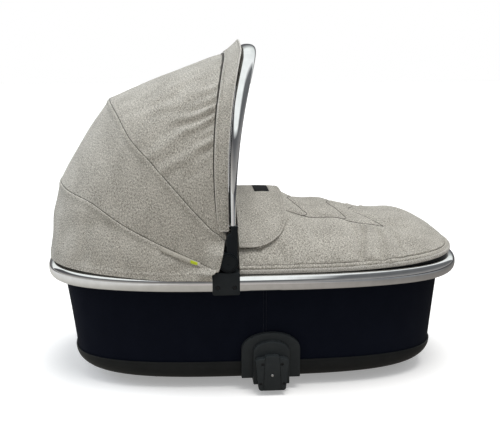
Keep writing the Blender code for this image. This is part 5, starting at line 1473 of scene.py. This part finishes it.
def make_housing(side_name, side):
    """The arched housing of an adapter, hollowed for the tray and the tub. Gives the place of its front."""
    root, face = side * (RAIL_HALF_WIDTH - 0.035), side * (RAIL_HALF_WIDTH - 0.0135)
    boss_face = side * (RAIL_HALF_WIDTH - 0.0015)
    flange = arched(0.058, 0.084, 0.118, 0.026, ADAPTER_X)
    housing = bevel(prism(f"adapter_flange_{side_name}", flange, root, face, "housing"), 0.0018, 4)
    boss_outline = arched(0.0355, 0.083, 0.104, 0.017, ADAPTER_X)
    boss = bevel(prism("boss", boss_outline, root + side * GAP, boss_face, "housing"), 0.0018, 4)
    combined(housing, "UNION", boss)
    loops = [tray_loop(turn, GAP) for turn in np.linspace(QUARTER_TURN, 0, 12)]
    loops.append(raised(tray_loop(0, GAP)[:, :2], TRAY_TOP_Z + 0.0011))
    for z in (TRAY_TOP_Z + 0.0014, RAIL_Z - RIM_DEPTH):
        loops.append(raised(tub_outline(z, -GAP), z))
    combined(housing, "DIFFERENCE", loft("clearance", loops, "black"))
    belongs(shaded(housing), "root", "black_plastic", f"adapter_housing_{side_name}")
    return boss_face


def make_plug(side_name, side, back, front):
    """The plug with its centre panel, four screws and the hole of the latch pin."""
    plug = bevel(prism(f"adapter_insert_{side_name}", plug_outline(), back, front, "housing"), 0.0010, 3)
    past = front + side * 0.004
    cuts = []
    for end in (-1, 1):
        corners = []
        for shift, z in ((-0.0006, 0.0845), (0.0006, 0.0845), (0.0006, 0.0065), (-0.0006, 0.0065)):
            across = PLUG_HALF_WIDTH + (0.018 - PLUG_HALF_WIDTH) * (0.0845 - z) / 0.078
            corners.append((ADAPTER_X + end * across + shift, z))
        cuts.append(prism("groove", corners, front - side * 0.0015, past, "black"))
        for across, z in ((0.0188, 0.0645), (0.0228, 0.0245)):
            x = ADAPTER_X + end * across
            seat = front - side * 0.0030
            cuts.append(turned("recess", ((0.003, seat), (0.003, past)), x, z, "black"))
            profile = [(0.0027, 0), (0.0027, 0.0014), (0.0023, 0.0019), (0.0012, 0.0019), (0.0010, 0.0006)]
            profile = [(radius, seat + side * rise) for radius, rise in profile]
            name = f"plug_screw_{'head' if end < 0 else 'foot'}_{round(z * 1000)}_{side_name}"
            belongs(turned(name, profile, x, z, "dark_steel", 24), "root", "dark_steel")
    step = front - side * 0.003
    hole = ((0.0050, back - side * 0.004), (0.0050, step), (0.0032, step), (0.0032, past))
    cuts.append(turned("latch_hole", hole, ADAPTER_X, LATCH_Z, "black"))
    combined(plug, "DIFFERENCE", *cuts)
    belongs(shaded(plug), "root", "black_plastic", f"adapter_plug_{side_name}")


def make_latch(side_name, side, front):
    """The sprung pin in the plug, with a collar inside and a rounded tip."""
    collar = front - side * 0.0033
    tip = front + side * 0.0015
    edge = 0.0012
    profile = [(0.0046, collar - side * 0.002), (0.0046, collar), (0.0028, collar)]
    profile.append((0.0028, tip - side * edge))
    for sine, cosine in QUARTER_ARC[1:]:
        profile.append((0.0008 + 0.0020 * cosine, tip - side * edge * (1 - sine)))
    pin = turned(f"sprung_pin_{side_name}", profile, ADAPTER_X, LATCH_Z, "steel", 40)
    belongs(pin, f"latch_{side_name}", "steel", f"latch_pin_{side_name}")


make_rail()
make_rim()
make_tray()
make_tub()
make_inside()
make_mattress()
make_arch()
hood = make_hood()
make_seams(hood)
make_tag(hood)
make_visor()
make_apron()
make_flap()
make_patch()
for side_name, side in SIDES:
    make_block(side_name, side)
    make_leg(side_name, side)
    make_button(side_name, side)
    plug_back = make_housing(side_name, side) + side * GAP
    plug_front = plug_back + side * 0.0164
    make_plug(side_name, side, plug_back, plug_front)
    make_latch(side_name, side, plug_front)

NODE_LOOKS = {
    "floor_board": "board", "bow_front": "bow", "bow_rear": "bow",
    "arch_leg": "slate", "hinge_block": "clamp", "adapter_housing": "housing", "adapter_plug": "housing",
    "release_button": "satin", "hinge_pin": "steel", "latch_pin": "steel", "block_screw": "dark_steel",
    "button_spring": "steel", "latch_spring": "steel",
}
for name, node_object in frame["nodes"].items():
    for start, look in NODE_LOOKS.items():
        if name.startswith(start):
            node_object.data.materials.clear()
            node_object.data.materials.append(FINISHES[look])


def mixed(tree, share, first, second):
    """A shader between two others."""
    return node(tree, "MixShader", (0, share), (1, first), (2, second)).outputs[0]


def colours(tree, share, first, second):
    """A colour between two others."""
    return node(tree, "Mix", ("Factor", share), ("A", first), ("B", second), data_type="RGBA").outputs[2]


def glowing(tree, kind, colour, strength=1.0):
    """Light of a colour, from a surface or from the world."""
    return node(tree, kind, ("Color", colour), ("Strength", strength)).outputs[0]


def ahead(tree, x, y):
    """How far a place or a direction lies in front of the cot or to its sides."""
    aside = maths(tree, "MULTIPLY", maths(tree, "ABSOLUTE", x), 0.9)
    return maths(tree, "SUBTRACT", aside, y)


def floor_paper():
    """White paper for the camera, a warm one for bounced light, and lit areas for the chrome to mirror."""
    paper, tree, shader = finish("studio_paper", (0.90, 0.90, 0.90), 0.9, Specular_IOR_Level=0.0)
    rays = node(tree, "LightPath")
    glow = glowing(tree, "Emission", (1, 1, 1, 1), FLOOR_GLOW)
    shown = node(tree, "AddShader", (0, shader.outputs[0]), (1, glow)).outputs[0]
    bounced = node(tree, "BsdfDiffuse", ("Color", (0.50, 0.47, 0.43, 1))).outputs[0]
    axes = node(tree, "SeparateXYZ", ("Vector", node(tree, "NewGeometry").outputs["Position"]))
    x, y = axes.outputs[0], axes.outputs[1]
    distance = ahead(tree, x, y)
    side = ranged(tree, x, -2.0, 2.0)
    close = graded(tree, side, (
        (0.0, (0.72, 0.72, 0.71)), (0.30, (0.60, 0.585, 0.555)), (0.42, (0.41, 0.39, 0.35)),
        (0.54, (0.33, 0.305, 0.28)), (0.64, (0.22, 0.205, 0.19)), (1.0, (0.10, 0.10, 0.10)),
    ))
    far = graded(tree, side, (
        (0.0, (0.62, 0.62, 0.60)), (0.355, (0.60, 0.58, 0.55)), (0.38, (0.30, 0.27, 0.25)),
        (0.41, (0.52, 0.47, 0.45)), (0.58, (0.46, 0.43, 0.41)), (0.64, (0.24, 0.24, 0.245)),
        (0.76, (0.17, 0.175, 0.18)), (0.84, (0.30, 0.31, 0.32)), (1.0, (0.06, 0.06, 0.065)),
    ))
    front = colours(tree, ranged(tree, distance, 1.1, 1.9), close, far)
    area = colours(tree, ranged(tree, y, 0.8, 1.6), front, (0.07, 0.07, 0.075, 1))
    lit = glowing(tree, "Emission", area)
    matt = node(tree, "BsdfDiffuse", ("Color", area)).outputs[0]
    mirrored = mixed(tree, 0.5, lit, matt)
    unseen = mixed(tree, rays.outputs["Is Glossy Ray"], bounced, mirrored)
    whole = mixed(tree, rays.outputs["Is Camera Ray"], unseen, shown)
    tree.links.new(whole, tree.nodes["Material Output"].inputs[0])
    return paper


def make_floor():
    """A large sheet of paper just under the cot."""
    mesh = bpy.data.meshes.new("floor")
    mesh.from_pydata([(-9, -9, 0), (9, -9, 0), (9, 9, 0), (-9, 9, 0)], [], [(0, 1, 2, 3)])
    floor = placed("studio_floor", mesh)
    floor.location.z = -0.0004
    mesh.materials.append(floor_paper())


def make_sky():
    """A soft sky, brighter overhead, and the surroundings that the chrome mirrors."""
    world = bpy.data.worlds.new("studio")
    bpy.context.scene.world = world
    world.use_nodes = True
    tree = world.node_tree
    tree.nodes.remove(tree.nodes["Background"])
    rays = node(tree, "LightPath")
    axes = node(tree, "SeparateXYZ", ("Vector", node(tree, "TexCoord").outputs["Generated"]))
    x, y, z = (axes.outputs[k] for k in range(3))
    height = ranged(tree, z, 0.0, 1.0)
    sky = graded(tree, height, (
        (0.0, (0.19, 0.188, 0.182)), (0.5, (0.37, 0.375, 0.38)), (1.0, (0.86, 0.87, 0.88)),
    ))
    turn = maths(tree, "ARCTAN2", z, ahead(tree, x, y))
    arc = ranged(tree, turn, 0.0, math.pi)
    left = graded(tree, arc, (
        (0.0, (0.52, 0.50, 0.47)), (0.05, (0.26, 0.25, 0.24)), (0.10, (0.10, 0.10, 0.105)),
        (0.31, (0.06, 0.062, 0.065)), (0.37, (0.78, 0.80, 0.80)), (0.44, (0.98, 1.0, 0.99)),
        (0.82, (0.80, 0.84, 0.81)), (0.92, (0.16, 0.16, 0.17)), (1.0, (0.08, 0.08, 0.085)),
    ))
    right = graded(tree, arc, (
        (0.0, (0.30, 0.29, 0.28)), (0.05, (0.20, 0.20, 0.20)), (0.12, (0.12, 0.122, 0.126)),
        (0.33, (0.15, 0.155, 0.16)), (0.39, (0.48, 0.49, 0.49)), (0.45, (0.96, 0.98, 0.97)),
        (0.80, (0.78, 0.82, 0.80)), (0.91, (0.14, 0.14, 0.15)), (1.0, (0.06, 0.06, 0.065)),
    ))
    sides = colours(tree, ranged(tree, x, -0.5, 0.5), left, right)
    high, leftward = ranged(tree, z, 0.46, 0.56), ranged(tree, x, 0.30, 0.12)
    around = colours(tree, maths(tree, "MULTIPLY", high, leftward), sides, (0.95, 0.98, 0.96, 1))
    ambient, mirrored, white = (glowing(tree, "Background", colour) for colour in (sky, around, (1, 1, 1, 1)))
    seen = mixed(tree, rays.outputs["Is Glossy Ray"], ambient, mirrored)
    whole = mixed(tree, rays.outputs["Is Camera Ray"], seen, white)
    tree.links.new(whole, tree.nodes["World Output"].inputs[0])


def make_suns():
    """A soft main light and a cool one from behind, which the chrome doesn't mirror."""
    for name, towards, power, softness, colour in SUNS:
        light = bpy.data.lights.new(name, "SUN")
        light.energy = power
        light.angle = math.radians(softness)
        light.color = colour
        lamp = placed(name, light)
        lamp.visible_glossy = False
        lamp.rotation_euler = Vector(towards).to_track_quat("Z", "Y").to_euler()


def look():
    """The photograph's viewpoint."""
    view = bpy.data.cameras.new("view")
    view.lens = 64.94
    view.sensor_width = 36
    view.shift_x = -0.0056
    camera = placed("view", view)
    camera.location = (-0.158, -1.863, 0.710)
    dip = math.radians(12.34)
    heading = Vector((0.0844 * math.cos(dip), 0.9964 * math.cos(dip), -math.sin(dip)))
    camera.rotation_euler = heading.to_track_quat("-Z", "Y").to_euler()
    bpy.context.scene.camera = camera
    bpy.context.scene.view_settings.view_transform = "Standard"


make_floor()
make_sky()
make_suns()
look()
